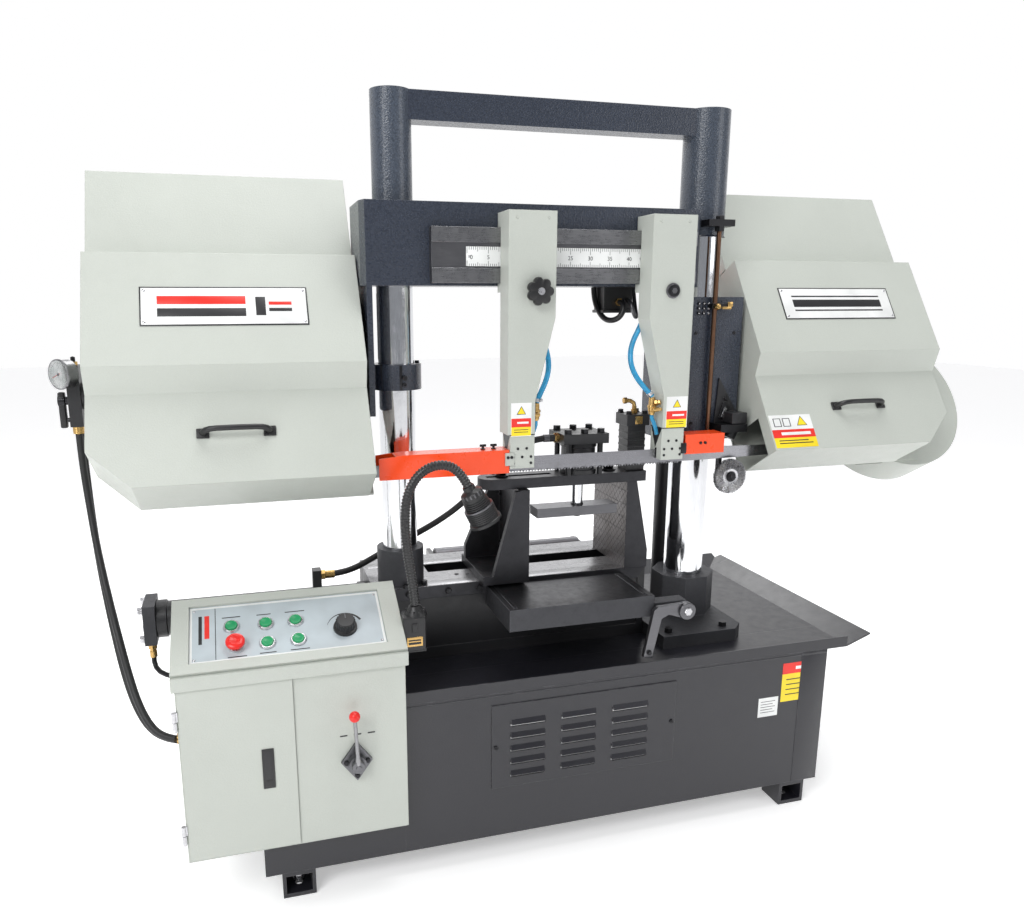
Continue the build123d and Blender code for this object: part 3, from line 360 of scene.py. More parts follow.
paint("base_cabinet", "char", (lambda c, n: c.y < -333.9 and -200 < c.x < 290 and 180 < c.z < 420, "char"))
paint("chip_tray", "char")
paint("mounting_feet", "char")
paint("fixed_bolts", "oxide")
paint("cabinet_shell", "light", (lambda c, n: c.x < -874.2 and c.y > -300 and c.z < 420, "brass"), (lambda c, n: c.x < -874.1 and c.y < -362 and c.z < 540, "zinc"))
paint("cabinet_door", "light", (lambda c, n: -713 < c.x < -687 and 311 < c.z < 403 and c.y < -374.7 and c.y > -378.9 and (c.y < -377.6 or abs(c.x + 700) < 11.9 and abs(n.y) < 0.5 or (abs(c.x + 700) < 7.5 and c.y > -377)), "pblack"), (lambda c, n: c.x < -871.3, "zinc"))
paint("control_panel", "panel", (lambda c, n: False, "chrome"))
paint("valve_body", "steeld")
paint("valve_lever", "steel", (lambda c, n: c.z > 448, "red"))
paint("vise_bed", "cast", (lambda c, n: c.z > 631.5, "steel"), (lambda c, n: c.y < -90 and c.z < 601, "black"))
paint("front_platform", "castrough", (lambda c, n: c.z > 621.9 and c.x < 229, "cast"), (lambda c, n: c.z > 622.2, "steel"))
paint("columns", "chrome")
paint("column_sockets", "castrough")
paint("fixed_cylinders", "black", (lambda c, n: c.x < -937.9, "castrough"))
paint("fixed_jaw", "cast", (lambda c, n: n.x < -0.9 and c.x < 236.5, "hatch"))
paint("press_bar", "cast")
paint("press_cylinder", "black")
paint("roller_stand", "char")
for b, mm in (("start_button", "green"), ("jaw_open_button", "green"), ("jaw_close_button", "green"), ("frame_up_button", "green"), ("frame_down_button", "green")):
    paint(b, mm)
paint("emergency_stop", "red")
paint("speed_knob", "pblack")
paint("stop_arm", "steeld")
paint("moving_jaw", "cast", (lambda c, n: n.x > 0.9 and c.x > -41.5, "steeld"))
paint("vise_rod", "chrome", (lambda c, n: c.z > 800, "oxide"))
paint("press_rod", "steeld", (lambda c, n: c.z > 811.5, "chrome"))
paint("rear_roller", "steeld")
paint("frame_beam", "slate", (lambda c, n: abs(c.x + 346) < 43.6 and abs(c.y + 40) < 43.6 and abs(n.z) < 0.1, "steeld"))
# tubes get the lighter slate and the tie between them the plain slate: painted highlight on the tubes
paint("column_tubes", "slate_painted_highlight", (lambda c, n: -299 < c.x < 397, "slate"))
paint("frame_hardware", "oxide", (lambda c, n: 189 < c.x < 269 and -41 < c.y < 21 and 1294 < c.z < 1356, "pblack"), (lambda c, n: abs(c.x - 456) < 7 and abs(c.y + 124) < 7, "copper"), (lambda c, n: abs(c.x - 455) < 30 and c.y > 40, "chrome"))
paint("guide_rail", "steeld", (lambda c, n: c.y > -151.6 and -201.5 < c.x < 237.5 and 1397 < c.z < 1442 and (c.y < -150.2), "white"), (lambda c, n: n.y < -0.9 and (c.z > 1450 or c.z < 1394), "steel"))
for a in ("guide_arm_left", "guide_arm_right"):
    paint(a, "light", (lambda c, n: c.z < 1018.1 and abs(c.y + 186) <= 5, "oxide"),
          (lambda c, n: c.y > -202 and c.y < -178 and ((-54 < c.x < -34 and 1049 < c.z < 1085) or (246 < c.x < 275.8 and 1051 < c.z < 1089)), "brass"),
          (lambda c, n: c.y > -154.95 and 1289 < c.z < 1305, "black"))
paint("blade_guards", "orange")
paint("blade_guard_left", "orange")
paint("wheel_box_left", "light", (lambda c, n: False, "zinc"))
paint("wheel_box_right", "light", (lambda c, n: False, "zinc"))
paint("lid_left", "light")
paint("lid_right", "light")
paint("tension_cylinder", "black", (lambda c, n: c.z > 1130 and c.x < -1040 and c.y < 4, "steel"), (lambda c, n: c.z < 1046 and c.x < -1050, "brass"))
paint("drive_unit", "slate")
paint("belt_cover", "light")
paint("blade", "band")
paint("drive_wheel", "castrough", (lambda c, n: False, "steel"))
paint("idler_wheel", "castrough")
paint("tension_slide", "steel")
paint("tension_handle", "pblack")
paint("clamp_knob", "pblack")
for h in ("hydraulic_hose_1", "hydraulic_hose_2", "press_hose"):
    paint(h, "rubber")
for h in ("coolant_hose_left", "coolant_hose_right"):
    paint(h, "hose")

# ------------------------------------------------------------------ piece builder
class G:
    """Collects shaped parts into one mesh that rides on a body."""
    def __init__(self, name, body, smooth=True):
        self.name, self.body = name, body
        self.bm = bmesh.new()
        self.mats = []
    def _mi(self, mat):
        if mat not in self.mats:
            self.mats.append(mat)
        return self.mats.index(mat)
    def add(self, bm2, mat, mtx=None, smooth=False):
        if mtx is not None:
            bmesh.ops.transform(bm2, matrix=mtx, verts=bm2.verts)
        i = self._mi(mat)
        for fc in bm2.faces:
            fc.material_index = i
            fc.smooth = smooth
        tmp = bpy.data.meshes.new("tmp")
        bm2.to_mesh(tmp)
        bm2.free()
        self.bm.from_mesh(tmp)
        bpy.data.meshes.remove(tmp)
    def box(self, x0, x1, y0, y1, z0, z1, mat, bev=0.6, mtx=None, seg=2):
        b = bmesh.new()
        bmesh.ops.create_cube(b, size=1.0)
        s = Matrix.Diagonal(((x1 - x0) / 1000, (y1 - y0) / 1000, (z1 - z0) / 1000, 1))
        t = Matrix.Translation(((x0 + x1) / 2000, (y0 + y1) / 2000, (z0 + z1) / 2000))
        bmesh.ops.transform(b, matrix=t @ s, verts=b.verts)
        w = min(bev / 1000, 0.45 * min(x1 - x0, y1 - y0, z1 - z0) / 1000)
        if w > 0:
            bmesh.ops.bevel(b, geom=list(b.edges), offset=w, segments=seg, profile=0.6, affect="EDGES")
        self.add(b, mat, mtx)
    def lathe(self, prof, mat, mtx, seg=32, smooth=True, sharp=35, ring=False):
        """prof: (radius, height) in mm, turned about local z."""
        b = bmesh.new()
        rings = []
        for r_, z_ in prof:
            if r_ <= 1e-6:
                rings.append([b.verts.new((0, 0, z_ / 1000))])
            else:
                rings.append([b.verts.new((r_ / 1000 * math.cos(2 * math.pi * i / seg), r_ / 1000 * math.sin(2 * math.pi * i / seg), z_ / 1000)) for i in range(seg)])
        for a, c in zip(rings, rings[1:]):
            for i in range(seg):
                j = (i + 1) % seg
                if len(a) == 1 and len(c) == 1:
                    continue
                if len(a) == 1:
                    b.faces.new((a[0], c[i], c[j]))
                elif len(c) == 1:
                    b.faces.new((a[i], a[j], c[0]))
                else:
                    b.faces.new((a[i], a[j], c[j], c[i]))
        if ring:
            a, c = rings[-1], rings[0]
            for i in range(seg):
                j = (i + 1) % seg
                b.faces.new((a[i], a[j], c[j], c[i]))
        for end, flip in (() if ring else ((rings[0], True), (rings[-1], False))):
            if len(end) > 1:
                b.faces.new(end[::-1] if flip else end)
        bmesh.ops.recalc_face_normals(b, faces=b.faces)
        self.add(b, mat, mtx, smooth)
    def hexbolt(self, at, axis, af, h, mat="oxide", washer=True):
        m4 = place(at, axis)
        if washer:
            self.lathe([(0, 0), (af * 0.62, 0), (af * 0.66, 0.4), (af * 0.66, 1.3), (af * 0.6, 1.8), (0, 1.8)], mat, m4, 24)
        rr = af / math.sqrt(3)
        z0 = 1.8 if washer else 0
        b = bmesh.new()
        lo = [b.verts.new((rr / 1000 * math.cos(math.radians(60 * i)), rr / 1000 * math.sin(math.radians(60 * i)), z0 / 1000)) for i in range(6)]
        mi = [b.verts.new((v.co.x, v.co.y, (z0 + h * 0.82) / 1000)) for v in lo]
        hi = [b.verts.new((v.co.x * 0.86, v.co.y * 0.86, (z0 + h) / 1000)) for v in lo]
        for a, c in ((lo, mi), (mi, hi)):
            for i in range(6):
                j = (i + 1) % 6
                b.faces.new((a[i], a[j], c[j], c[i]))
        b.faces.new(hi); b.faces.new(lo[::-1])
        self.add(b, mat, m4)
    def socket(self, at, axis, d, h, mat="oxide"):
        m4 = place(at, axis)
        rr = d / 2
        self.lathe([(0, 0), (rr, 0), (rr, h * 0.85), (rr * 0.9, h), (rr * 0.55, h), (rr * 0.5, h * 0.55), (0, h * 0.5)], mat, m4, 24, True)
    def dome(self, at, axis, d, h, mat="zinc"):
        m4 = place(at, axis)
        rr = d / 2
        self.lathe([(rr, 0), (rr * 0.96, h * 0.35), (rr * 0.7, h * 0.8), (rr * 0.3, h), (0, h)], mat, m4, 20, True)
    def prism(self, pts, axis, a, b_, mat, bev=0.5):
        """pts in the plane across axis; axis 'x','y','z'; mm."""
        b = bmesh.new()
        def v(p, t):
            if axis == "y":
                return b.verts.new((p[0] / 1000, t / 1000, p[1] / 1000))
            if axis == "x":
                return b.verts.new((t / 1000, p[0] / 1000, p[1] / 1000))
            return b.verts.new((p[0] / 1000, p[1] / 1000, t / 1000))
        lo = [v(p, a) for p in pts]
        hi = [v(p, b_) for p in pts]
        n = len(pts)
        for i in range(n):
            j = (i + 1) % n
            b.faces.new((lo[i], lo[j], hi[j], hi[i]))
        b.faces.new(lo[::-1]); b.faces.new(hi)
        bmesh.ops.recalc_face_normals(b, faces=b.faces)
        if bev:
            bmesh.ops.bevel(b, geom=list(b.edges), offset=bev / 1000, segments=2, profile=0.6, affect="EDGES")
        self.add(b, mat)
    def sweep(self, pts, rad, mat, seg=14, ribs=None):
        """tube along points (mm) with optional radius per point."""
        b = bmesh.new()
        P = [Vector(p) / 1000 for p in pts]
        up = None
        rings = []
        for k, p in enumerate(P):
            d = (P[min(k + 1, len(P) - 1)] - P[max(k - 1, 0)]).normalized()
            if up is None:
                up = d.orthogonal().normalized()
            up = (up - d * up.dot(d)).normalized()
            sd = d.cross(up)
            rr = (rad[k] if isinstance(rad, (list, tuple)) else rad) / 1000
            rings.append([b.verts.new(p + up * rr * math.cos(2 * math.pi * i / seg) + sd * rr * math.sin(2 * math.pi * i / seg)) for i in range(seg)])
        for a, c in zip(rings, rings[1:]):
            for i in range(seg):
                j = (i + 1) % seg
                b.faces.new((a[i], a[j], c[j], c[i]))
        b.faces.new(rings[0][::-1]); b.faces.new(rings[-1])
        bmesh.ops.recalc_face_normals(b, faces=b.faces)
        self.add(b, mat, None, True)
    def done(self, slot=None):
        me = bpy.data.meshes.new(self.name)
        self.bm.to_mesh(me)
        self.bm.free()
        for mt in self.mats:
            me.materials.append(M[mt])
        try:
            me.set_sharp_from_angle(angle=math.radians(35))
        except Exception:
            pass
        o = bpy.data.objects.new(self.name, me)
        bpy.context.scene.collection.objects.link(o)
        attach(o, self.body)
        return o

def place(at, axis):
    ax = Vector(axis).normalized()
    q = Vector((0, 0, 1)).rotation_difference(ax)
    return Matrix.Translation(Vector(at) / 1000) @ q.to_matrix().to_4x4()

# plane of the wheel covers
TILT = math.radians(32.0)
YR, ZR = -180.0, 1192.5
WM = Matrix.Translation((0, YR / 1000, ZR / 1000)) @ Matrix.Rotation(-TILT, 4, "X")
def Wp(x, w, k):
    v = WM @ Vector((x / 1000, w / 1000, k / 1000))
    return (v.x * 1000, v.y * 1000, v.z * 1000)
WY = (WM.to_3x3() @ Vector((0, -1, 0)))
# desk plane
DESK = math.atan2(681.0 - 585.0, -200.0 + 374.0)
DM = Matrix.Translation((0, -0.374, 0.585)) @ Matrix.Rotation(DESK, 4, "X")
DN = DM.to_3x3() @ Vector((0, 0, 1))
def Dp(x, y, z):
    v = DM @ Vector((x / 1000, y / 1000, z / 1000))
    return (v.x * 1000, v.y * 1000, v.z * 1000)
def in_plane(mat4, x0, x1, y0, y1, z0, z1):
    return mat4

# ------------------------------------------------------------------ lid trims (plates and pulls)
def trim(side, px0, px1, k0, k1, hx0, hx1, hk, body, style):
    g = G("lid_%s_trim_detail" % side, body)
    # plate: backing, white face, border, corner rivets
    g.box(px0, px1, -1.5, 0, k0, k1, "ink", 0.5, WM)
    g.box(px0 + 3, px1 - 3, -1.8, -1.2, k0 + 3, k1 - 3, "white", 0.2, WM)
    for rx in (px0 + 9, px1 - 9):
        for rk in (k0 + 9, k1 - 9):
            g.dome(Wp(rx, -1.7, rk), WY, 7, 1.6, "zinc")
    w = px1 - px0
    if style == 0:
        g.box(px0 + w * 0.10, px0 + w * 0.62, -2.1, -1.7, k0 + 52, k0 + 72, "pred", 0.1, WM)
        g.box(px0 + w * 0.10, px0 + w * 0.62, -2.1, -1.7, k0 + 22, k0 + 42, "ink", 0.1, WM)
        g.box(px0 + w * 0.68, px0 + w * 0.74, -2.1, -1.7, k0 + 24, k0 + 70, "ink", 0.1, WM)
        g.box(px0 + w * 0.76, px0 + w * 0.90, -2.1, -1.7, k0 + 50, k0 + 58, "pred", 0.1, WM)
        g.box(px0 + w * 0.76, px0 + w * 0.90, -2.1, -1.7, k0 + 34, k0 + 42, "ink", 0.1, WM)
    else:
        g.box(px0 + w * 0.10, px0 + w * 0.90, -2.1, -1.7, k0 + 36, k0 + 58, "ink", 0.1, WM)
        g.box(px0 + w * 0.10, px0 + w * 0.90, -2.1, -1.7, k0 + 66, k0 + 70, "ink", 0.1, WM)
        g.box(px0 + w * 0.10, px0 + w * 0.90, -2.1, -1.7, k0 + 24, k0 + 28, "ink", 0.1, WM)
    # bow pull on two feet
    pts, rr = [], []
    L = hx1 - hx0
    prof = [(0, 45, 9), (2, 36, 9), (7, 27, 8.5), (16, 20.5, 8), (30, 18, 7.8), (L / 2, 17.2, 7.8)]
    full = prof + [(L - a, b_, c_) for a, b_, c_ in prof[::-1][1:]]
    for a, b_, c_ in full:
        pts.append(Wp(hx0 + a, b_ - 0.0, hk)); rr.append(c_ * 0.78)
    g.sweep(pts, rr, "pblack", 16)
    for xx in (hx0 + 1, hx1 - 1):
        g.box(xx - 13, xx + 13, 40.5, 45, hk - 11, hk + 11, "pblack", 2.0, WM, 3)
        g.socket(Wp(xx, 40.6, hk), WY, 8, 0.9, "zinc")
    o = g.done("grey_plastic")
    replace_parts(o, "lid_%s_trim" % side)
trim("left", -902, -553, 92, 187, -790, -652, -138, "left_lid", 0)
trim("right", 665, 1008, 95, 189, 772, 910, -136, "right_lid", 1)

# ------------------------------------------------------------------ stickers (no lettering)
def sticker(name, body, mat4, x0, x1, y0, y1, scheme, t=0.35, z=0.0):
    """in a plane: x right, y up in mat4's x and z axes, out along -y."""
    g = G(name, body)
    def r_(a0, a1, b0, b1, m_, lift):
        g.box(x0 + (x1 - x0) * a0, x0 + (x1 - x0) * a1, z - t - lift, z - lift * 0.0, y0 + (y1 - y0) * b0, y0 + (y1 - y0) * b1, m_, 0.08, mat4, 1)
    def tri(cx_, cy_, s, m_, lift):
        b = bmesh.new()
        yy = (z - t - lift) / 1000
        vs = []
        for a in (90, 210, 330):
            vs.append(((cx_ + s * math.cos(math.radians(a))) / 1000, (cy_ + s * math.sin(math.radians(a))) / 1000))
        lo = [b.verts.new((p[0], yy, p[1])) for p in vs]
        hi = [b.verts.new((p[0], yy + 0.0002, p[1])) for p in vs]
        for i in range(3):
            j = (i + 1) % 3
            b.faces.new((lo[i], lo[j], hi[j], hi[i]))
        b.faces.new(lo); b.faces.new(hi[::-1])
        bmesh.ops.recalc_face_normals(b, faces=b.faces)
        g.add(b, m_, mat4)
    H = y1 - y0
    if scheme == "arm":
        r_(0, 1, 0, 1, "white", 0)
        r_(0.02, 0.98, 0.28, 0.54, "pred", 0.1)
        r_(0.02, 0.98, 0.02, 0.28, "yellow", 0.1)
        tri((x0 + x1) / 2, y0 + H * 0.74, H * 0.17, "ink", 0.1)
        tri((x0 + x1) / 2, y0 + H * 0.74, H * 0.135, "yellow", 0.2)
        r_(0.15, 0.85, 0.19, 0.21, "ink", 0.2); r_(0.15, 0.85, 0.12, 0.14, "ink", 0.2)
        r_(0.3, 0.86, 0.38, 0.44, "white", 0.2)
    elif scheme == "wide":
        r_(0, 1, 0, 1, "yellow", 0)
        r_(0, 1, 0.72, 1.0, "pred", 0.1)
        for i in range(4):
            r_(0.10, 0.90 - 0.1 * (i % 2), 0.56 - i * 0.13, 0.585 - i * 0.13, "ink", 0.2)
        r_(0.30, 0.80, 0.82, 0.90, "white", 0.2)
    elif scheme == "double":
        r_(0, 1, 0, 1, "white", 0)
        r_(0, 1, 0, 0.5, "yellow", 0.1)
        r_(0, 1, 0.30, 0.55, "pred", 0.2)
        r_(0.2, 0.9, 0.38, 0.47, "white", 0.3)
        tri(x0 + (x1 - x0) * 0.75, y0 + H * 0.76, H * 0.2, "ink", 0.1)
        tri(x0 + (x1 - x0) * 0.75, y0 + H * 0.76, H * 0.165, "yellow", 0.2)
        r_(0.08, 0.26, 0.64, 0.90, "ink", 0.1); r_(0.10, 0.24, 0.66, 0.88, "white", 0.2)
        r_(0.30, 0.48, 0.64, 0.90, "ink", 0.1); r_(0.32, 0.46, 0.66, 0.88, "white", 0.2)
        r_(0.1, 0.9, 0.12, 0.15, "ink", 0.2); r_(0.1, 0.8, 0.2, 0.23, "ink", 0.2)
    else:
        r_(0, 1, 0, 1, "white", 0)
        for i in range(5):
            r_(0.12, 0.85 - 0.12 * (i % 2), 0.78 - i * 0.14, 0.81 - i * 0.14, "ink", 0.1)
    return g.done()
I4 = Matrix.Identity(4)
sticker("sticker_base_wide", "machine", I4, 589, 735 - 18, 304, 411, "wide", z=-334.0)
sticker("sticker_base_small", "machine", I4, 524, 582, 269, 322, "small", z=-334.0)
sticker("sticker_arm_left", "left_guide", I4, -113, -63, 1014, 1092, "arm", z=-215.0)
sticker("sticker_arm_right", "saw_frame", I4, 284, 341, 1017, 1094, "arm", z=-215.0)
sticker("sticker_lid_right", "right_lid", WM, 565, 687, -243, -154, "double", z=45.0)

# ------------------------------------------------------------------ ruler
g = G("ruler_marks", "saw_frame")
x = -199.0
i = 0
while x < 236:
    L = 15 if i % 10 == 0 else (11 if i % 5 == 0 else 7)
    g.box(x - 0.45, x + 0.45, -151.75, -151.45, 1441 - L, 1441, "ink", 0)
    g.box(x - 0.45, x + 0.45, -151.75, -151.45, 1398, 1398 + L * 0.8, "ink", 0)
    x += 5.0
    i += 1
for x in (-194, 231):
    g.dome((x, -151.5, 1419), (0, -1, 0), 6, 1.2)
ruler = g.done()
for n in range(0, 9):
    x = -199 + n * 50
    if x > 215: break
    cu = bpy.data.curves.new("ruler_number_%d" % n, "FONT")
    cu.body = str(n * 5)
    cu.size = 0.013
    cu.extrude = 0.0001
    cu.align_x = "CENTER"
    o = bpy.data.objects.new("ruler_number_%d" % n, cu)
    bpy.context.scene.collection.objects.link(o)
    o.rotation_euler = (math.radians(90), 0, 0)
    o.location = ((x + (10 if n == 0 else 0)) / 1000, -0.1518, 1.4135)
    cu.materials.append(M["ink"])
    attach(o, "saw_frame")

# ------------------------------------------------------------------ control desk
g = G("desk_details", "machine")
# printed film over the plate, in the desk's own plane
g.box(-843, -437, 25.5, 174.5, 2.6, 3.35, "white", 0.3, DM)
g.box(-838, -442, 30.5, 169.5, 2.9, 3.55, "panel", 0.3, DM)
for x in (-834, -446):
    for y in (35, 165):
        g.dome(Dp(x, y, 3.5), DN, 6, 1.6)
# arc scale and ticks round the speed knob
KX, KY = -520, 80
for i in range(24):
    a = math.radians(20 + i * 130 / 23)
    t = 0.3 + 2.2 * i / 23
    m4 = DM @ Matrix.Translation((KX / 1000, KY / 1000, 0)) @ Matrix.Rotation(math.pi - a, 4, "Z")
    g.box(39 - t, 39 + t, -2.4, 2.4, 3.3, 3.75, "ink", 0, m4)
# plain bars in place of printed words
for x, y, w in ((-758, 140, 38), (-748, 33, 38), (-690, 139, 30), (-686, 35, 34), (-624, 139, 42), (-620, 35, 40)):
    g.box(x - w / 2, x + w / 2, y - 1.2, y + 1.2, 3.3, 3.7, "ink", 0, DM)
g.box(-791.5, -790, 31, 169, 3.3, 3.7, "ink", 0, DM)
g.box(-813, -803, 88, 150, 3.3, 3.7, "pred", 0, DM)
g.box(-825, -818, 74, 150, 3.3, 3.7, "ink", 0, DM)
# bezels: turned rings over the plain ones
for x, y in ((-758, 113), (-687, 112), (-686, 60), (-624, 112), (-622, 60)):
    g.lathe([(12.7, 3.2), (17.6, 3.2), (17.6, 5.0), (16.6, 7.6), (15.2, 9.0), (13.4, 9.0), (12.7, 8.2)], "zinc", DM @ Matrix.Translation((x / 1000, y / 1000, 0)), 40, ring=True)
g.lathe([(12, 3.2), (16, 3.2), (15.6, 4.4), (14, 5.4), (14, 6.6), (9.4, 7.2)], "zinc", DM @ Matrix.Translation((-751 / 1000, 60 / 1000, 0)), 40, ring=True)
# seam round the desk top
g.box(-878, -398, -9.4, -8.6, -27, -25.6, "ink", 0, DM)
desk = g.done()

def cap(node, body, x, y, mat):
    g = G(node + "_detail", body)
    m4 = DM @ Matrix.Translation((x / 1000, y / 1000, 0))
    g.lathe([(0, 6.45), (12.4, 6.45), (12.4, 11.0), (11.7, 12.0), (9.8, 12.3), (8.6, 11.7), (0, 11.4)], mat, m4, 40)
    o = g.done()
    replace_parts(o, node)
cap("start_button", "button_start", -758, 113, "green")
cap("jaw_open_button", "button_jaw_open", -687, 112, "green")
cap("jaw_close_button", "button_jaw_close", -686, 60, "green")
cap("frame_up_button", "button_up", -624, 112, "green")
cap("frame_down_button", "button_down", -622, 60, "green")
g = G("emergency_stop_detail", "button_stop")
g.lathe([(0, 8), (9, 8), (9, 14.5), (14, 14.8), (18.2, 15.4), (19.8, 17.5), (20, 20.5), (19.2, 23.6), (16.5, 25.8), (11, 26.5), (10.4, 26.1), (0, 25.6)], "red", DM @ Matrix.Translation((-0.751, 0.060, 0)), 48)
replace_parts(g.done(), "emergency_stop")
g = G("speed_knob_detail", "knob_speed")
m4 = DM @ Matrix.Translation((-0.520, 0.080, 0))
g.lathe([(0, 3.2), (26, 3.2), (26, 5), (25.2, 8.8), (23.4, 9.4), (21.4, 9.8), (20.6, 11), (19.4, 27.8), (18.0, 29.3), (0, 29.3)], "pblack", m4, 48)
for i in range(20):
    a = 2 * math.pi * i / 20
    g.box(18.6, 21.1, -1.5, 1.5, 10.2, 27.6, "pblack", 0.9, m4 @ Matrix.Rotation(a, 4, "Z"))
g.box(-1.3, 1.3, 4, 18.5, 29.1, 30.4, "pgrey", 0.2, m4)
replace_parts(g.done(), "speed_knob")

# hand valve: bolts, plate and gland
g = G("valve_details", "machine")
for a, b in ((-23, 0), (23, 0), (0, -33), (0, 33)):
    g.hexbolt((-514 + a, -382, 345 + b), (0, -1, 0), 9, 4.2, "oxide")
g.lathe([(19.2, 0), (19.6, 3), (19.2, 6), (17.5, 8), (17.5, 15.6), (15, 16.4)], "steeld", place((-514, -381.8, 345), (0, -1, 0)), 40)
for a in range(0, 3):
    g.box(-548 + a * 30, -532 + a * 30, -374.5, -374.0, 404, 407, "ink", 0)
g.done()
g = G("valve_lever_detail", "valve_handle")
g.lathe([(0, 0), (14.2, 0.3), (14.4, 2), (14.4, 10), (13.2, 11.8), (6, 12.4), (5.5, 14.6), (0, 15)], "steeld", place((-514, -398.2, 345), (0, -1, 0)), 40)
q = place((-514, -405, 345), (-0.038, 0, 1))
g.lathe([(6.4, 4), (6.2, 16), (4.4, 24), (4.2, 60), (4.0, 104), (3.2, 112)], "steel", q, 20)
bp = []
for i in range(13):
    a = math.pi * (i / 12.0)
    bp.append((11.95 * math.sin(a) if 0 < i < 12 else 0.0, 118.6 - 11.95 * math.cos(a)))
g.lathe(bp, "red", q, 32)
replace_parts(g.done(), "valve_lever")

# desk cabinet: door pull, door stops, screws
g = G("door_details", "door")
g.box(-712.5, -687.5, -379.6, -377.2, 311, 403, "pblack", 1.6)
g.box(-707, -693, -380.3, -379.2, 316, 330, "pblack", 0.5)
g.box(-706.5, -693.5, -379.9, -379.4, 334, 397, "ink", 0.2)
for z in (230, 490):
    g.lathe([(4.6, 0), (4.8, 1), (4.8, 20), (4.6, 21)], "zinc", Matrix.Translation((-0.8785, -0.378, (z + 0.6) / 1000)), 20)
g.done()

# ------------------------------------------------------------------ work lamp
NECK = [(-361, -301, 642), (-366, -301, 700), (-377, -301, 770), (-383, -301, 845), (-378, -301, 912), (-348, -301, 962), (-298, -301, 979), (-256, -301, 958), (-237, -301, 918)]
def nurbs_points(pts, closed=False, res=64):
    """points along a smooth spline of order 3, through the ends."""
    cu = bpy.data.curves.new("t", "CURVE")
    cu.dimensions = "3D"
    sp = cu.splines.new("NURBS")
    sp.points.add(len(pts) - 1)
    for p, q_ in zip(sp.points, pts):
        p.co = (q_[0] / 1000, q_[1] / 1000, q_[2] / 1000, 1)
    sp.order_u = 3
    sp.use_endpoint_u = True
    cu.resolution_u = res
    o = bpy.data.objects.new("t", cu)
    bpy.context.scene.collection.objects.link(o)
    dg = bpy.context.evaluated_depsgraph_get()
    me = bpy.data.meshes.new_from_object(o.evaluated_get(dg))
    out = [v.co.copy() * 1000 for v in me.vertices]
    bpy.data.objects.remove(o)
    bpy.data.meshes.remove(me)
    bpy.data.curves.remove(cu)
    return out
def smooth(pts):
    return nurbs_points(pts, res=12)
def resample(pts, step):
    out = [pts[0]]
    acc = 0.0
    for a, b in zip(pts, pts[1:]):
        d = (b - a).length
        while acc + d >= step:
            t = (step - acc) / d
            a = a.lerp(b, t)
            out.append(a)
            d = (b - a).length
            acc = 0.0
        acc += d
    out.append(pts[-1])
    return out
g = G("work_lamp_detail", "machine")
g.box(-395.9, -344, -326, -276, 560, 640, "pblack", 5, None, 3)
g.box(-396, -343, -322, -280, 556, 563, "pblack", 1.5)
g.box(-388, -352, -326.6, -325.4, 572, 594, "brass", 0.6)
g.box(-384, -356, -327.2, -326.2, 577, 582, "ink", 0.1)
g.box(-384, -356, -327.2, -326.2, 585, 588, "ink", 0.1)
g.box(-376, -364, -329, -325.5, 606, 626, "pblack", 1.2)
g.lathe([(0, 0), (25.5, 0), (25, 5), (21, 12), (16, 17), (14.5, 22), (12.5, 24), (0, 24)], "pblack", place((-363, -301, 636), (-0.06, 0, 1)), 40)
for i in range(10):
    a = 2 * math.pi * i / 10
    g.box(17, 22.5, -1.6, 1.6, 6, 15, "pblack", 0.6, place((-363, -301, 636), (-0.06, 0, 1)) @ Matrix.Rotation(a, 4, "Z"))
line = resample(nurbs_points(NECK, res=40), 1.75)
rad = [10.9, 10.9, 9.3, 9.3] * (len(line) // 4 + 1)
g.sweep(line, rad[:len(line)], "lampneck", 24)
end = line[-1]
dn = (line[-1] - line[-5]).normalized()
q = place(end, dn)
g.lathe([(0, -7), (13, -7), (14, -5), (14, 3), (16, 5), (22, 7), (25, 10), (25.6, 12), (25.6, 20)], "pblack", q, 48)
for i in range(16):
    a = 2 * math.pi * i / 16
    g.box(17.5, 25.9, -1.7, 1.7, 9.5, 18, "steeld", 0.5, q @ Matrix.Rotation(a, 4, "Z"))
g.lathe([(25.6, 20), (26.6, 21), (26.6, 27), (25.8, 28)], "pblack", q, 48)
z = 28
for i in range(4):
    g.lathe([(25.8 + i * 0.5, z), (28 + i * 0.7, z + 1), (28 + i * 0.7, z + 3.4), (25.8 + i * 0.5, z + 4.4)], "pblack", q, 48)
    z += 4.4
g.lathe([(28, z), (34.2, z + 1), (34.6, z + 3), (34.2, z + 5), (33, z + 6)], "steeld", q, 48)
z += 6
while z < 76:
    g.lathe([(33, z), (34.4, z + 0.8), (34.4, z + 3.6), (33, z + 4.6)], "pblack", q, 48)
    z += 4.6
g.lathe([(33, z), (36, z + 0.6), (37.9, z + 2.4), (38, z + 8), (36.8, z + 9), (34, z + 8), (22, z - 16), (0, z - 22)], "pblack", q, 48)
g.lathe([(0, z + 2), (20, z + 2.6), (34.3, z + 3), (34.3, z + 5), (20, z + 5.6), (0, z + 6)], "glass", q, 40)
g.lathe([(0, z - 20), (10, z - 20), (15, z - 14), (16, z - 6), (12, z), (0, z + 1)], "white", q, 32)
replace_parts(g.done("black_plastic"), "work_lamp")

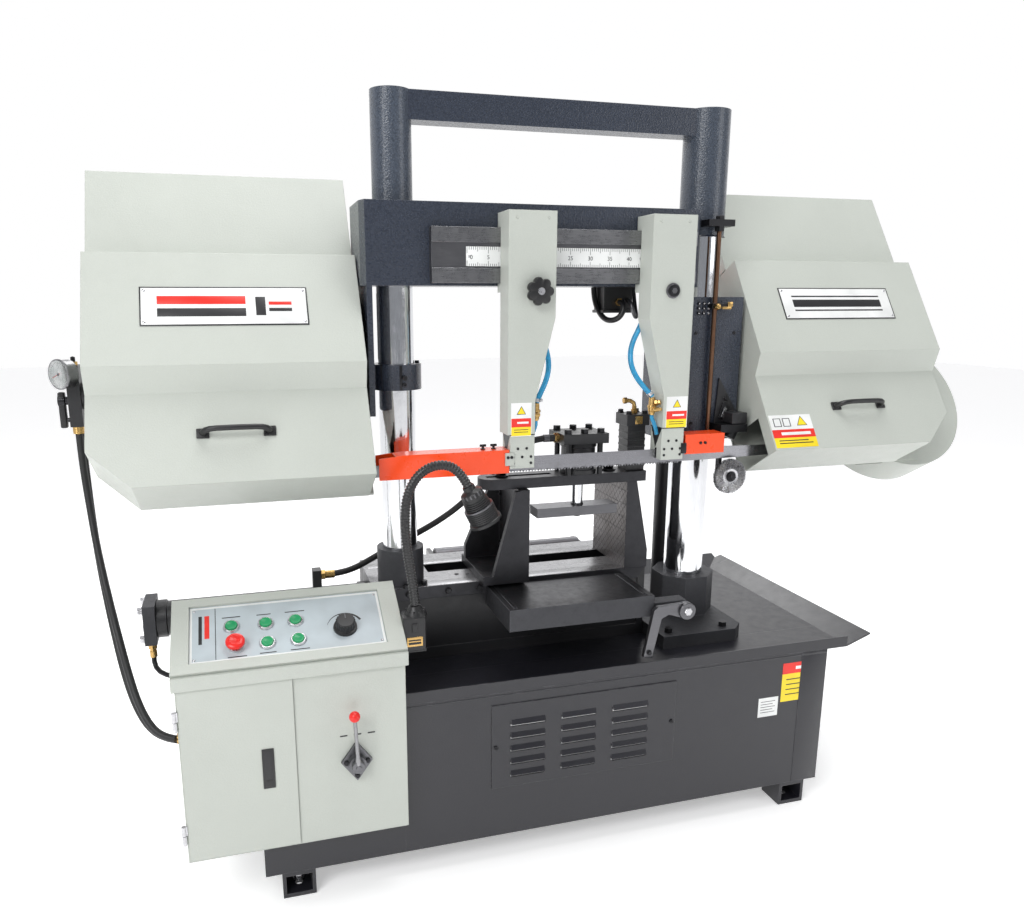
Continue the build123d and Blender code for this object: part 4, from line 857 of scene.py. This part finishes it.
# ------------------------------------------------------------------ wire brush
g = G("blade_brush_detail", "brush")
q = place((490, -187, 880), (0, 1, 0))
g.lathe([(0, -9.5), (9, -9.5), (9, -7), (14, -7), (14.5, -6), (14.5, 6), (9, 6), (9, 19), (0, 19)], "oxide", q, 40)
g.lathe([(14.5, -6.6), (20, -7.6), (21.8, -6.4), (22, -4), (14.5, -4)], "zinc", q, 48)
g.hexbolt((490, -196.3, 880), (0, -1, 0), 15, 7.5, "oxide")
b = bmesh.new()
for i in range(3000):
    a = rnd.uniform(0, 2 * math.pi)
    z = rnd.uniform(-7.5, 7.5)
    ro = 45.8 - rnd.uniform(0, 3.2)
    tw = rnd.uniform(-0.10, 0.10)
    wd = 0.010
    p0 = Vector((20 * math.cos(a), 20 * math.sin(a), z * 0.75))
    p1 = Vector((34 * math.cos(a + tw * 1.4), 34 * math.sin(a + tw * 1.4), z * 0.85))
    p2 = Vector((ro * math.cos(a + tw), ro * math.sin(a + tw), z + rnd.uniform(-0.8, 0.8)))
    t0 = Vector((-math.sin(a), math.cos(a), 0)) * 0.32
    k = Vector((0, 0, 0.32))
    for t in (t0, k):
        vs = [b.verts.new(v / 1000) for v in (p0 - t, p0 + t, p1 + t, p1 - t, p2 + t * 0.8, p2 - t * 0.8)]
        b.faces.new((vs[0], vs[1], vs[2], vs[3]))
        b.faces.new((vs[3], vs[2], vs[4], vs[5]))
g.add(b, "zinc", q)
g.lathe([(14, -3.6), (36, -4.6), (40, -5), (40.6, 0), (40, 5), (36, 4.6), (14, 3.6)], "wirecore", q, 60)
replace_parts(g.done("wire"), "blade_brush")

# ------------------------------------------------------------------ blade teeth along the straight run
g = G("blade_teeth", "saw_frame")
b = bmesh.new()
x = -112.0
i = 0
while x < 338:
    p = 8.2 if i % 2 else 7.0
    off = (0.35, 0.0, -0.35)[i % 3]
    pts = [(x, 927.4), (x + p * 0.30, 923.2), (x + p * 0.62, 926.0), (x + p * 0.96, 927.4), (x + p * 0.96, 928.4), (x, 928.4)]
    lo = [b.verts.new((a / 1000, (-186.55 + (off if z < 926.5 else 0)) / 1000, z / 1000)) for a, z in pts]
    hi = [b.verts.new((a / 1000, (-185.45 + (off if z < 926.5 else 0)) / 1000, z / 1000)) for a, z in pts]
    n = len(pts)
    for k in range(n):
        j = (k + 1) % n
        b.faces.new((lo[k], lo[j], hi[j], hi[k]))
    b.faces.new(lo); b.faces.new(hi[::-1])
    x += p
    i += 1
bmesh.ops.recalc_face_normals(b, faces=b.faces)
g.add(b, "band")
g.done("machined")

# ------------------------------------------------------------------ guide arms: bolts, guide blocks, clamps
def arm_bits(name, body, bx0, bx1, tx0, tx1):
    g = G(name, body)
    # dark joint line between the arm and its guide block, socket screws in the block
    g.box(bx0 - 0.4, bx1 + 0.4, -215.4, -157, 1016.4, 1018.6, "oxide", 0.3)
    w = bx1 - bx0
    for fx, z in ((0.14, 965), (0.5, 965), (0.86, 965), (0.14, 950), (0.32, 985), (0.68, 985), (0.86, 950)):
        g.socket((bx0 + w * fx, -213, z), (0, -1, 0), 6.5, 1.0, "oxide")
    for z in (1500,):
        for x in (tx0 + 20, tx1 - 20):
            g.dome((x, -215, z), (0, -1, 0), 6, 1.6, "light")
    return g
g = arm_bits("arm_left_details", "left_guide", -114, -54, -121, -8)
# lower bracket to the blade guard, wing screws
g.box(-126, -104, -216.5, -211, 946, 976, "light", 1.0)
for x in (-120, -111):
    g.socket((x, -216.4, 966), (0, -1, 0), 7, 2.5, "oxide")
for x in (-172, -146):
    g.lathe([(0, 0), (6, 0), (6, 2), (3, 3), (3, 9), (0, 9)], "oxide", place((x, -186, 983), (0, 0, 1)), 20)
    g.box(x - 8, x + 8, -187.2, -184.8, 989, 995, "oxide", 1.0)
# coolant tap: body, lever, hose clamps
g.lathe([(0, 0), (6, 0), (7, 2), (7, 8), (9.5, 10), (9.5, 18), (7, 20), (6.6, 34), (7.4, 36), (7.4, 41), (0, 41)], "brass", place((-43, -190, 1046), (0, 0, 1)), 24)
g.lathe([(0, 0), (4.5, 0), (4.5, 10), (0, 10)], "brass", place((-43, -198, 1062), (0, -1, 0)), 16)
g.box(-60, -40, -211, -208, 1058.5, 1065.5, "brass", 1.2)
g.lathe([(7.6, -4), (8.2, -4), (8.2, 4), (7.6, 4)], "zinc", place((-42, -189.6, 1094), (0.1, 0.02, 1)), 24)
g.box(-36, -30, -200, -190, 1090, 1098, "zinc", 0.8)
# drip nozzle down to the blade
g.sweep([Vector(p) for p in ((-43, -190, 1048), (-43, -190, 1036), (-46, -190, 1026), (-50, -190, 1016), (-52, -190, 1006))], 4.5, "hose", 14)
g.done("panel_paint")
g = arm_bits("arm_right_details", "saw_frame", 276, 336, 229, 342)
g.lathe([(0, 0), (6, 0), (7, 2), (7, 8), (9.5, 10), (9.5, 18), (7, 20), (6.6, 36), (7.4, 38), (7.4, 43), (0, 43)], "brass", place((258, -190, 1048), (0, 0, 1)), 24)
g.lathe([(0, 0), (4.5, 0), (4.5, 12), (0, 12)], "brass", place((258, -196, 1064), (0, -1, 0)), 16)
g.box(252, 274, -212, -208.5, 1060.5, 1067.5, "brass", 1.2)
g.lathe([(0, 0), (8, 0), (8, 7), (6, 8), (6, 14), (0, 14)], "brass", place((262, -197, 1078), (0.75, -0.6, 0.2)), 6, False)
g.lathe([(7.6, -4), (8.2, -4), (8.2, 4), (7.6, 4)], "zinc", place((252, -189, 1100), (-0.6, 0.15, 0.75)), 24)
g.sweep([Vector(p) for p in ((258, -190, 1050), (259, -191, 1040), (264, -193, 1028), (268, -196, 1014), (270, -198, 1000))], 5.0, "hose", 14)
g.box(330, 344, -216.5, -211, 952, 978, "oxide", 1.0)
# hex clamp bolt on the arm
g.lathe([(0, 0), (17.5, 0), (18, 0.6), (18, 2.2), (17, 3.0), (14, 3.2)], "steeld", place((286, -215, 1344), (0, -1, 0)), 32)
g.lathe([(14.2, 1.5), (14.2, 8.6), (13.0, 9.2), (8, 9.2), (7.2, 8.9), (0, 8.6)], "oxide", place((286, -215, 1344), (0, -1, 0)), 32)
g.lathe([(3.2, 8.8), (7, 9.3), (7, 9.6), (3.2, 9.5)], "steeld", place((286, -215, 1344), (0, -1, 0)), 6, False)
# guard cap screws
for x in (385, 398):
    g.socket((x, -212, 976), (0, -1, 0), 7, 3, "oxide")
# blade-guard carrier behind the guard
g.box(343, 391, -158, -112, 968, 984, "black", 1.2)
g.done("panel_paint")

# star knob
g = G("clamp_knob_detail", "guide_clamp")
b = bmesh.new()
seg = 96
rings = []
for (k, y, sc_) in ((0, -221.5, 0.80), (1, -224, 0.96), (2, -229, 1.0), (3, -236, 0.99), (4, -239.5, 0.92), (5, -241, 0.74), (6, -241.4, 0.30)):
    ring = []
    for i in range(seg):
        a = 2 * math.pi * i / seg
        rr = (24.6 + 7.4 * abs(math.cos(3.5 * a)) ** 0.75) * sc_
        ring.append(b.verts.new(((-52 + rr * math.cos(a)) / 1000, y / 1000, (1342 + rr * math.sin(a)) / 1000)))
    rings.append(ring)
for a_, c_ in zip(rings, rings[1:]):
    for i in range(seg):
        j = (i + 1) % seg
        b.faces.new((a_[i], a_[j], c_[j], c_[i]))
b.faces.new(rings[0]); b.faces.new(rings[-1][::-1])
bmesh.ops.recalc_face_normals(b, faces=b.faces)
g.add(b, "pblack", None, True)
g.lathe([(0, 0), (12, 0), (11, 6), (10.5, 8), (0, 8)], "pblack", place((-52, -215.4, 1342), (0, -1, 0)), 32)
g.lathe([(0, 0), (8, 0), (8, 0.8), (0, 1.0)], "zinc", place((-52, -241.2, 1342), (0, -1, 0)), 24)
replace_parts(g.done("black_plastic"), "clamp_knob")

# ------------------------------------------------------------------ press cylinders, fittings, vise details
g = G("press_details", "machine")
PX, PY = 108.0, -92.5
for a in (-44, 44):
    for b_ in (-38, 38):
        g.hexbolt((PX + a, PY + b_, 1000), (0, 0, 1), 15, 8, "oxide")
        g.lathe([(0, 0), (6.5, 0), (6.5, 79), (0, 79)], "oxide", place((PX + a * 0.955, PY + b_, 896), (0, 0, 1)), 20)
g.lathe([(43.4, 895.5), (46, 896), (46, 906), (43.4, 908)], "black", Matrix.Translation((PX / 1000, PY / 1000, 0)), 48, ring=True)
g.lathe([(43.4, 962), (46, 964), (46, 974), (43.4, 974.6)], "black", Matrix.Translation((PX / 1000, PY / 1000, 0)), 48, ring=True)
# brass elbows on the head and the clamp cylinder
g.lathe([(0, 0), (12, 0), (12, 12), (0, 12)], "brass", place((48, -106, 988), (-1, 0, 0)), 6, False)
g.lathe([(8.1, 0), (9.6, 0.4), (9.6, 15), (8.1, 15.4)], "steeld", place((23, -106, 988), (-1, 0, 0)), 24)
g.lathe([(0, 0), (12.5, 0), (12.5, 10), (0, 10)], "brass", place((-540, 27.5, 640), (1, 0, 0)), 6, False)
g.lathe([(8.1, 0), (10, 0.5), (10, 24), (8.1, 24.5)], "brass", place((-530, 27.5, 640), (1, 0, 0)), 24)
MX = 256.0
for a in (-22, 22):
    for b_ in (-24, 24):
        g.hexbolt((MX + a, PY + b_, 1040), (0, 0, 1), 13, 7, "oxide")
for i in range(6):
    z = 905 + i * 17
    g.box(MX - 25.2, MX + 25.2, PY - 27.2, PY + 27.2, z, z + 6, "black", 1.2)
g.lathe([(0, 0), (9, 0), (9, 10), (6.5, 11), (6.5, 18), (0, 18)], "brass", place((MX + 4, PY, 1040), (0, 0, 1)), 6, False)
g.sweep([Vector(p) for p in ((MX + 4, PY, 1056), (MX + 2, PY, 1066), (MX - 8, PY, 1072), (MX - 20, PY, 1073))], 5.5, "brass", 14)
g.lathe([(0, 0), (8, 0), (8, 9), (0, 9)], "brass", place((MX - 18, PY, 1073), (-1, 0, 0)), 6, False)
g.box(MX - 8, MX + 12, PY - 34, PY - 30, 1016, 1036, "brass", 1.0)
# slots' bolts on the bar
g.hexbolt((193, PY, 898), (0, 0, 1), 24, 9, "oxide")
# vise cylinder: tie rods, gland, brass elbow and hose at the far end
for yy in (-8, 63):
    for zz in (529, 601):
        g.hexbolt((-966, yy, zz), (-1, 0, 0), 17, 10, "zinc")
g.lathe([(42.5, 0), (46, 1), (46, 24), (42.5, 26)], "black", place((-938, 27.5, 565), (1, 0, 0)), 48, ring=True)
g.lathe([(42.5, 0), (46, 1), (46, 20), (42.5, 22)], "black", place((-447.6, 27.5, 565), (1, 0, 0)), 48, ring=True)
g.lathe([(0, 0), (11, 0), (11, 12), (8, 13), (8, 20), (0, 20)], "brass", place((-950, -6, 516), (0, 0, -1)), 6, False)
g.lathe([(8.5, 19), (8.5, 34)], "brass", place((-950, -6, 516), (0, 0, -1)), 20, False)
g.sweep([Vector(p) for p in ((-950, -6, 482), (-950, -8, 470), (-946, -16, 458), (-936, -32, 452), (-920, -50, 450), (-900, -66, 450), (-880, -70, 450), (-800, -70, 450), (-730, -70, 450))], 6.0, "oxide", 14)
g.lathe([(0, 0), (9, 0), (9, 10), (0, 10)], "brass", place((-724, -70, 450), (-1, 0, 0)), 6, False)
g.done("cylinder_paint")

# moving parts' dress: jaw bolt, press plate screws
g = G("jaw_details", "sliding_jaw")
g.hexbolt((-97, PY, 898.4), (0, 0, 1), 24, 9, "oxide")
for z in (690, 760, 830):
    for y in (-110, 10):
        g.socket((-66, y, z), (-1, 0, 0), 14, 5, "oxide")
g.done("cast_dark")
g = G("press_plate_details", "press")
g.hexbolt((PX, PY, 787), (0, 0, -1), 17, 6, "oxide")
g.lathe([(0, 0), (16, 0), (16, 3), (14.2, 4.5), (0, 4.5)], "steeld", place((PX, PY, 811), (0, 0, 1)), 32)
g.done("machined")

# ------------------------------------------------------------------ bed: ways, strips and screws
g = G("bed_details", "machine")
for y0, y1 in ((-110, -74), (64, 100)):
    g.box(-414, 232, y0, y1, 631.6, 632.35, "steel", 0.15)
for x in (-380, -300, -200):
    g.socket((x, -40, 632), (0, 0, 1), 12, 1.2, "oxide")
# front strip of the bed with bolts
for x in (-340, -240, -160):
    g.hexbolt((x, -112, 616), (0, -1, 0), 13, 6, "oxide")
# platform: screws
for x in (-123, 211):
    for y in (-284, -210, -136):
        g.socket((x, y, 624), (0, 0, 1), 6, 0.7, "oxide")
g.done("machined")

# rear roller sleeve
g = G("roller_details", "roller")
q = place((-203, 196, 603), (1, 0, 0))
g.lathe([(12, -0.5), (27.5, -0.5), (29.2, 1), (29.2, 435), (27.5, 436.5), (12, 436.5)], "steeld", q, 48)
g.done("machined")

# base front: panel screws, seams, foot bolts
g = G("base_details", "machine")
for x in (-184, 273):
    g.dome((x, -337, 299), (0, -1, 0), 9, 3, "zinc")
g.box(-720.5, 719.5, -335.0, -333.6, 428, 431, "char", 0.4)
g.box(643, 719.6, -334.8, -333.5, 66, 434, "char", 0.4)
line = [Vector((640, -332 + 0.0, 436.5)), Vector((700, -332, 436.5)), Vector((776, -330, 438))]
for sx in (-1, 1):
    for sy in (-1, 1):
        x, y = sx * 648, sy * 296
        g.prism([(y - 36, 10), (y - 36, 52), (y + 4, 10)] if sy > 0 else [(y + 36, 10), (y + 36, 52), (y - 4, 10)], "x", x - 4, x + 4, "char", 0.6) if False else None
        g.hexbolt((x, y - 16 * sy, 10), (0, 0, 1), 20, 12, "zinc")
g.done("base_paint")

# stop arm end screw
g = G("stop_arm_details", "length_stop")
g.hexbolt((310, -318, 580), (0, -1, 0), 19, 9, "zinc")
g.lathe([(0, 0), (20, 0), (21.5, 1), (21.5, 6), (20, 7.4), (0, 7.6)], "steeld", place((310, -317.8, 580), (0, -1, 0)), 40)
g.hexbolt((213, -318, 482), (0, -1, 0), 10, 5, "oxide")
g.done("machined")

# ------------------------------------------------------------------ tension unit: gauge dial, fittings
TY = YR + (46.099) * math.sin(TILT) + 226 * math.cos(TILT)
g = G("tension_details", "saw_frame")
ga = Vector((-math.sin(math.radians(42)), -math.cos(math.radians(42)), 0))
gc = Vector((-1078, TY - 44, 1166))
q = place(gc, ga)
g.lathe([(30.5, -12), (31.2, -11), (31.2, 10), (32.6, 12), (32.9, 14), (32.5, 16), (30.6, 16.4), (30, 14.6)], "steel", q, 48)
g.lathe([(0, 14.2), (30.2, 14.2), (30.2, 14.8), (0, 14.8)], "white", q, 48)
for i in range(25):
    a = math.radians(-135 + 270 * i / 24)
    L = 6 if i % 4 == 0 else 3.5
    g.box(-0.35, 0.35, 27 - L, 27, 14.8, 15.0, "ink", 0, q @ Matrix.Rotation(a, 4, "Z"))
g.box(-0.8, 0.8, -6, 22, 15.1, 15.5, "pred", 0.1, q @ Matrix.Rotation(math.radians(70), 4, "Z"))
g.lathe([(0, 15), (3.2, 15), (3.2, 16), (0, 16)], "ink", q, 20)
g.lathe([(0, 16.0), (30, 16.0), (30.6, 16.3), (0, 16.8)], "glass", q, 48)
for yy in (18, 48):
    g.lathe([(0, 0), (12.6, 0), (12.6, 12), (10, 13), (10, 16.5), (0, 16.5)], "brass", place((-1066, yy, 1046), (0, 0, -1)), 6, False)
for z in (1062, 1170):
    for yy in (TY - 26, TY + 24):
        g.socket((-1080, yy, z), (-1, 0, 0), 10, 5, "oxide")
g.lathe([(0, 0), (9, 0), (9, 8), (0, 8)], "brass", place((-1066, TY, 1182), (0, 0, 1)), 6, False)
g.lathe([(0, 0), (5, 0), (5, 10), (0, 12)], "oxide", place((-1066, TY, 1190), (0, 0, 1)), 20)
g.done("cylinder_paint")
g = G("bleed_handle_detail", "bleed_handle")
g.lathe([(0, 0), (9.5, 0), (9.5, 10), (12, 12), (12, 26), (0, 26)], "oxide", place((-1080.3, TY + 6, 1102), (-1, 0, 0)), 24)
g.box(-1106, -1091, TY - 3, TY + 15, 1040, 1122, "pblack", 5, None, 3)
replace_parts(g.done("black_plastic"), "tension_handle")

# ------------------------------------------------------------------ hoses
def hose(name, pts, dia, mat, body, exit_i, node):
    cu = bpy.data.curves.new(name, "CURVE")
    cu.dimensions = "3D"
    sp = cu.splines.new("NURBS")
    sp.points.add(len(pts) - 1)
    for p, q_ in zip(sp.points, pts):
        p.co = (q_[0] / 1000, q_[1] / 1000, q_[2] / 1000, 1)
    sp.order_u = 3
    sp.use_endpoint_u = True
    cu.resolution_u = 16
    cu.bevel_depth = dia / 2000
    cu.bevel_resolution = 6
    cu.use_fill_caps = True
    cu.materials.append(M[mat])
    o = bpy.data.objects.new(name, cu)
    bpy.context.scene.collection.objects.link(o)
    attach(o, body)
    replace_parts(o, node)
    L = 0.0
    ps = nurbs_points(pts, res=24)
    for a, b in zip(ps, ps[1:]):
        L += (b - a).length
    return L
H1 = [(-1066, 18, 1029.7), (-1066, 18, 985), (-1063, 12, 922), (-1056, -4, 852), (-1047, -29, 782), (-1034, -60, 713), (-1019, -95, 645), (-1003, -131, 580), (-986, -170, 518), (-967, -209, 462), (-942, -243, 420), (-914, -265, 402), (-889.6, -272, 398)]
H2 = [(-1066, 48, 1029.7), (-1066, 48, 985), (-1064, 43, 921), (-1060, 28, 851), (-1053, 4, 780), (-1043, -27, 710), (-1030, -62, 640), (-1016, -98, 574), (-1000, -137, 510), (-980, -175, 451), (-953, -209, 405), (-919, -229, 381), (-889.6, -236, 376)]
CL = [(-38, -147, 1288.4), (-34, -147, 1268), (-22, -147.5, 1244), (-9, -150, 1219), (-2, -157, 1191), (-4, -167, 1163), (-15, -177, 1135), (-31, -186, 1110), (-43, -190, 1087.4)]
CR = [(248, -147, 1288.4), (244, -147, 1270), (233, -147.5, 1248), (220, -150, 1225), (211, -156, 1199), (209, -165, 1171), (217, -175, 1144), (236, -185, 1116), (258, -190, 1094.0)]
PH = [(22, -106, 988), (-8, -106, 988), (-42, -99, 973), (-74, -76, 938), (-101, -42, 896), (-137, -22, 852), (-187, -8, 802), (-237, 12, 762), (-289, 30, 729), (-345, 44, 698), (-402, 44, 669), (-452, 34, 648), (-498, 27.5, 640), (-540, 27.5, 640)]
LEN = {}
LEN["ph"] = hose("press_hose_a", PH, 16, "rubber", "machine", 0, "press_hose")
LEN["h1"] = hose("hydraulic_hose_a", H1, 16, "rubber", "saw_frame", 0, "hydraulic_hose_1")
LEN["h2"] = hose("hydraulic_hose_b", H2, 16, "rubber", "saw_frame", 0, "hydraulic_hose_2")
LEN["cl"] = hose("coolant_hose_a", CL, 13, "hose", "left_guide", 0, "coolant_hose_left")
LEN["cr"] = hose("coolant_hose_b", CR, 13, "hose", "saw_frame", 0, "coolant_hose_right")
print("hose lengths mm", LEN)

# ------------------------------------------------------------------ saw frame dress
g = G("frame_details", "saw_frame")
for x in (418, 432, 446):
    for z in (1290, 1302, 1314):
        g.dome((x, -112, z), (0, -1, 0), 7, 4.5, "zinc")
for x, z in ((414, 1240), (524, 1240), (414, 1010), (524, 1010)):
    g.socket((x, -112, z), (0, -1, 0), 9, 1.6, "oxide")
# rod clamp ball and wing
g.lathe([(0, 0), (5, 0.6), (7.6, 3.6), (8.4, 8), (7.6, 12.4), (5, 15.4), (0, 16)], "brass", place((456, -146, 1306), (0, 1, 0)), 24)
g.box(470, 496, -138, -134, 1300, 1306, "brass", 1.0)
g.box(486, 500, -137, -133.5, 1306, 1318, "brass", 1.0)
g.hexbolt((456, -124, 1516), (0, 0, 1), 20, 9, "oxide", False)
# guide ring clamp screw and joint
g.box(-349, -343, -101.5, -98, 1117, 1175, "oxide", 0.6)
g.socket((-338, -101, 1130), (0, -1, 0), 10, 4, "oxide")
# tube feet
for x, rr in ((-346, 46.6), (455, 57.1)):
    g.lathe([(rr - 0.5, 1538.1 if x < 0 else 1478.2), (rr + 3, 1538.6 if x < 0 else 1478.2), (rr + 0.2, 1543.0 if x < 0 else 1482)], "slate", Matrix.Translation((x / 1000, -0.04, 0)), 64, ring=True)
# solenoid box: lid, connectors and hose
g.box(186, 272, -44, 24, 1291, 1299, "pblack", 2.5)
g.lathe([(0, 0), (10, 0), (10, 9), (0, 9)], "brass", place((229, -40, 1318), (0, -1, 0)), 6, False)
g.sweep(smooth([(229, -50, 1318), (229, -72, 1316), (226, -78, 1292), (212, -70, 1274), (196, -44, 1272), (186, -20, 1292), (182, 4, 1326), (182, 8, 1354)]), 7.0, "pblack", 16)
g.sweep(smooth([(250, -40, 1324), (252, -62, 1322), (256, -72, 1296), (268, -62, 1280), (284, -36, 1282), (292, -10, 1304), (294, 4, 1334), (294, 8, 1354)]), 5.5, "steeld", 16)
# slotted, three-cornered plate over the brush
g.prism([(487, 1126), (555, 1016), (555, 990), (479, 990), (479, 1010)], "y", -117.5, -112.6, "black", 0.8)
g.prism([(499, 1062), (520, 1050), (505, 1014), (486, 1024)], "y", -124, -117.4, "oxide", 1.0)
g.prism([(504, 1050), (511, 1046), (501, 1022), (494, 1026)], "y", -124.6, -123.6, "steel", 0.4)
g.hexbolt((508, -118, 1072), (0, -1, 0), 10, 5, "oxide")
g.hexbolt((538, -118, 1004), (0, -1, 0), 10, 5, "oxide")
# brush bracket: motor block
g.box(500, 543, -168, -116, 1012, 1040, "black", 2.0)
g.lathe([(0, 0), (15, 0), (17, 2), (17, 30), (15, 32), (0, 32)], "black", place((508, -140, 972), (0.45, 0, 0.9)), 24)
g.done("cylinder_paint")

# motor fins, gearbox bolts
g = G("drive_details", "saw_frame")
DX, KC = 839.0, 46.099
q = WM @ Matrix.Translation((1.118, 0.195 + 0.0, -0.055)) @ Matrix.Rotation(-math.pi / 2, 4, "X")
for i in range(15):
    z = 132 + i * 7.2
    g.lathe([(67.5, z), (73, z + 0.6), (73, z + 2.6), (67.5, z + 3.2)], "slate", q, 48)
g.lathe([(66, 234), (72, 236), (72, 252), (66, 257), (20, 259), (0, 259)], "slate", q, 48)
for i in range(18):
    a = 2 * math.pi * i / 18
    g.box(28, 60, -2.2, 2.2, 258.2, 259.8, "ink", 0.2, q @ Matrix.Rotation(a, 4, "Z"))
for a in (-84, 62):
    for b_ in (-78, 78):
        g.hexbolt(Wp(DX + a, 320, KC + b_), WM.to_3x3() @ Vector((0, 1, 0)), 17, 8, "oxide")
g.lathe([(0, 0), (46, 0), (46, 8), (40, 12), (0, 12)], "slate", place(Wp(DX, 320, KC), WM.to_3x3() @ Vector((0, 1, 0))), 48)
g.done("frame_paint")
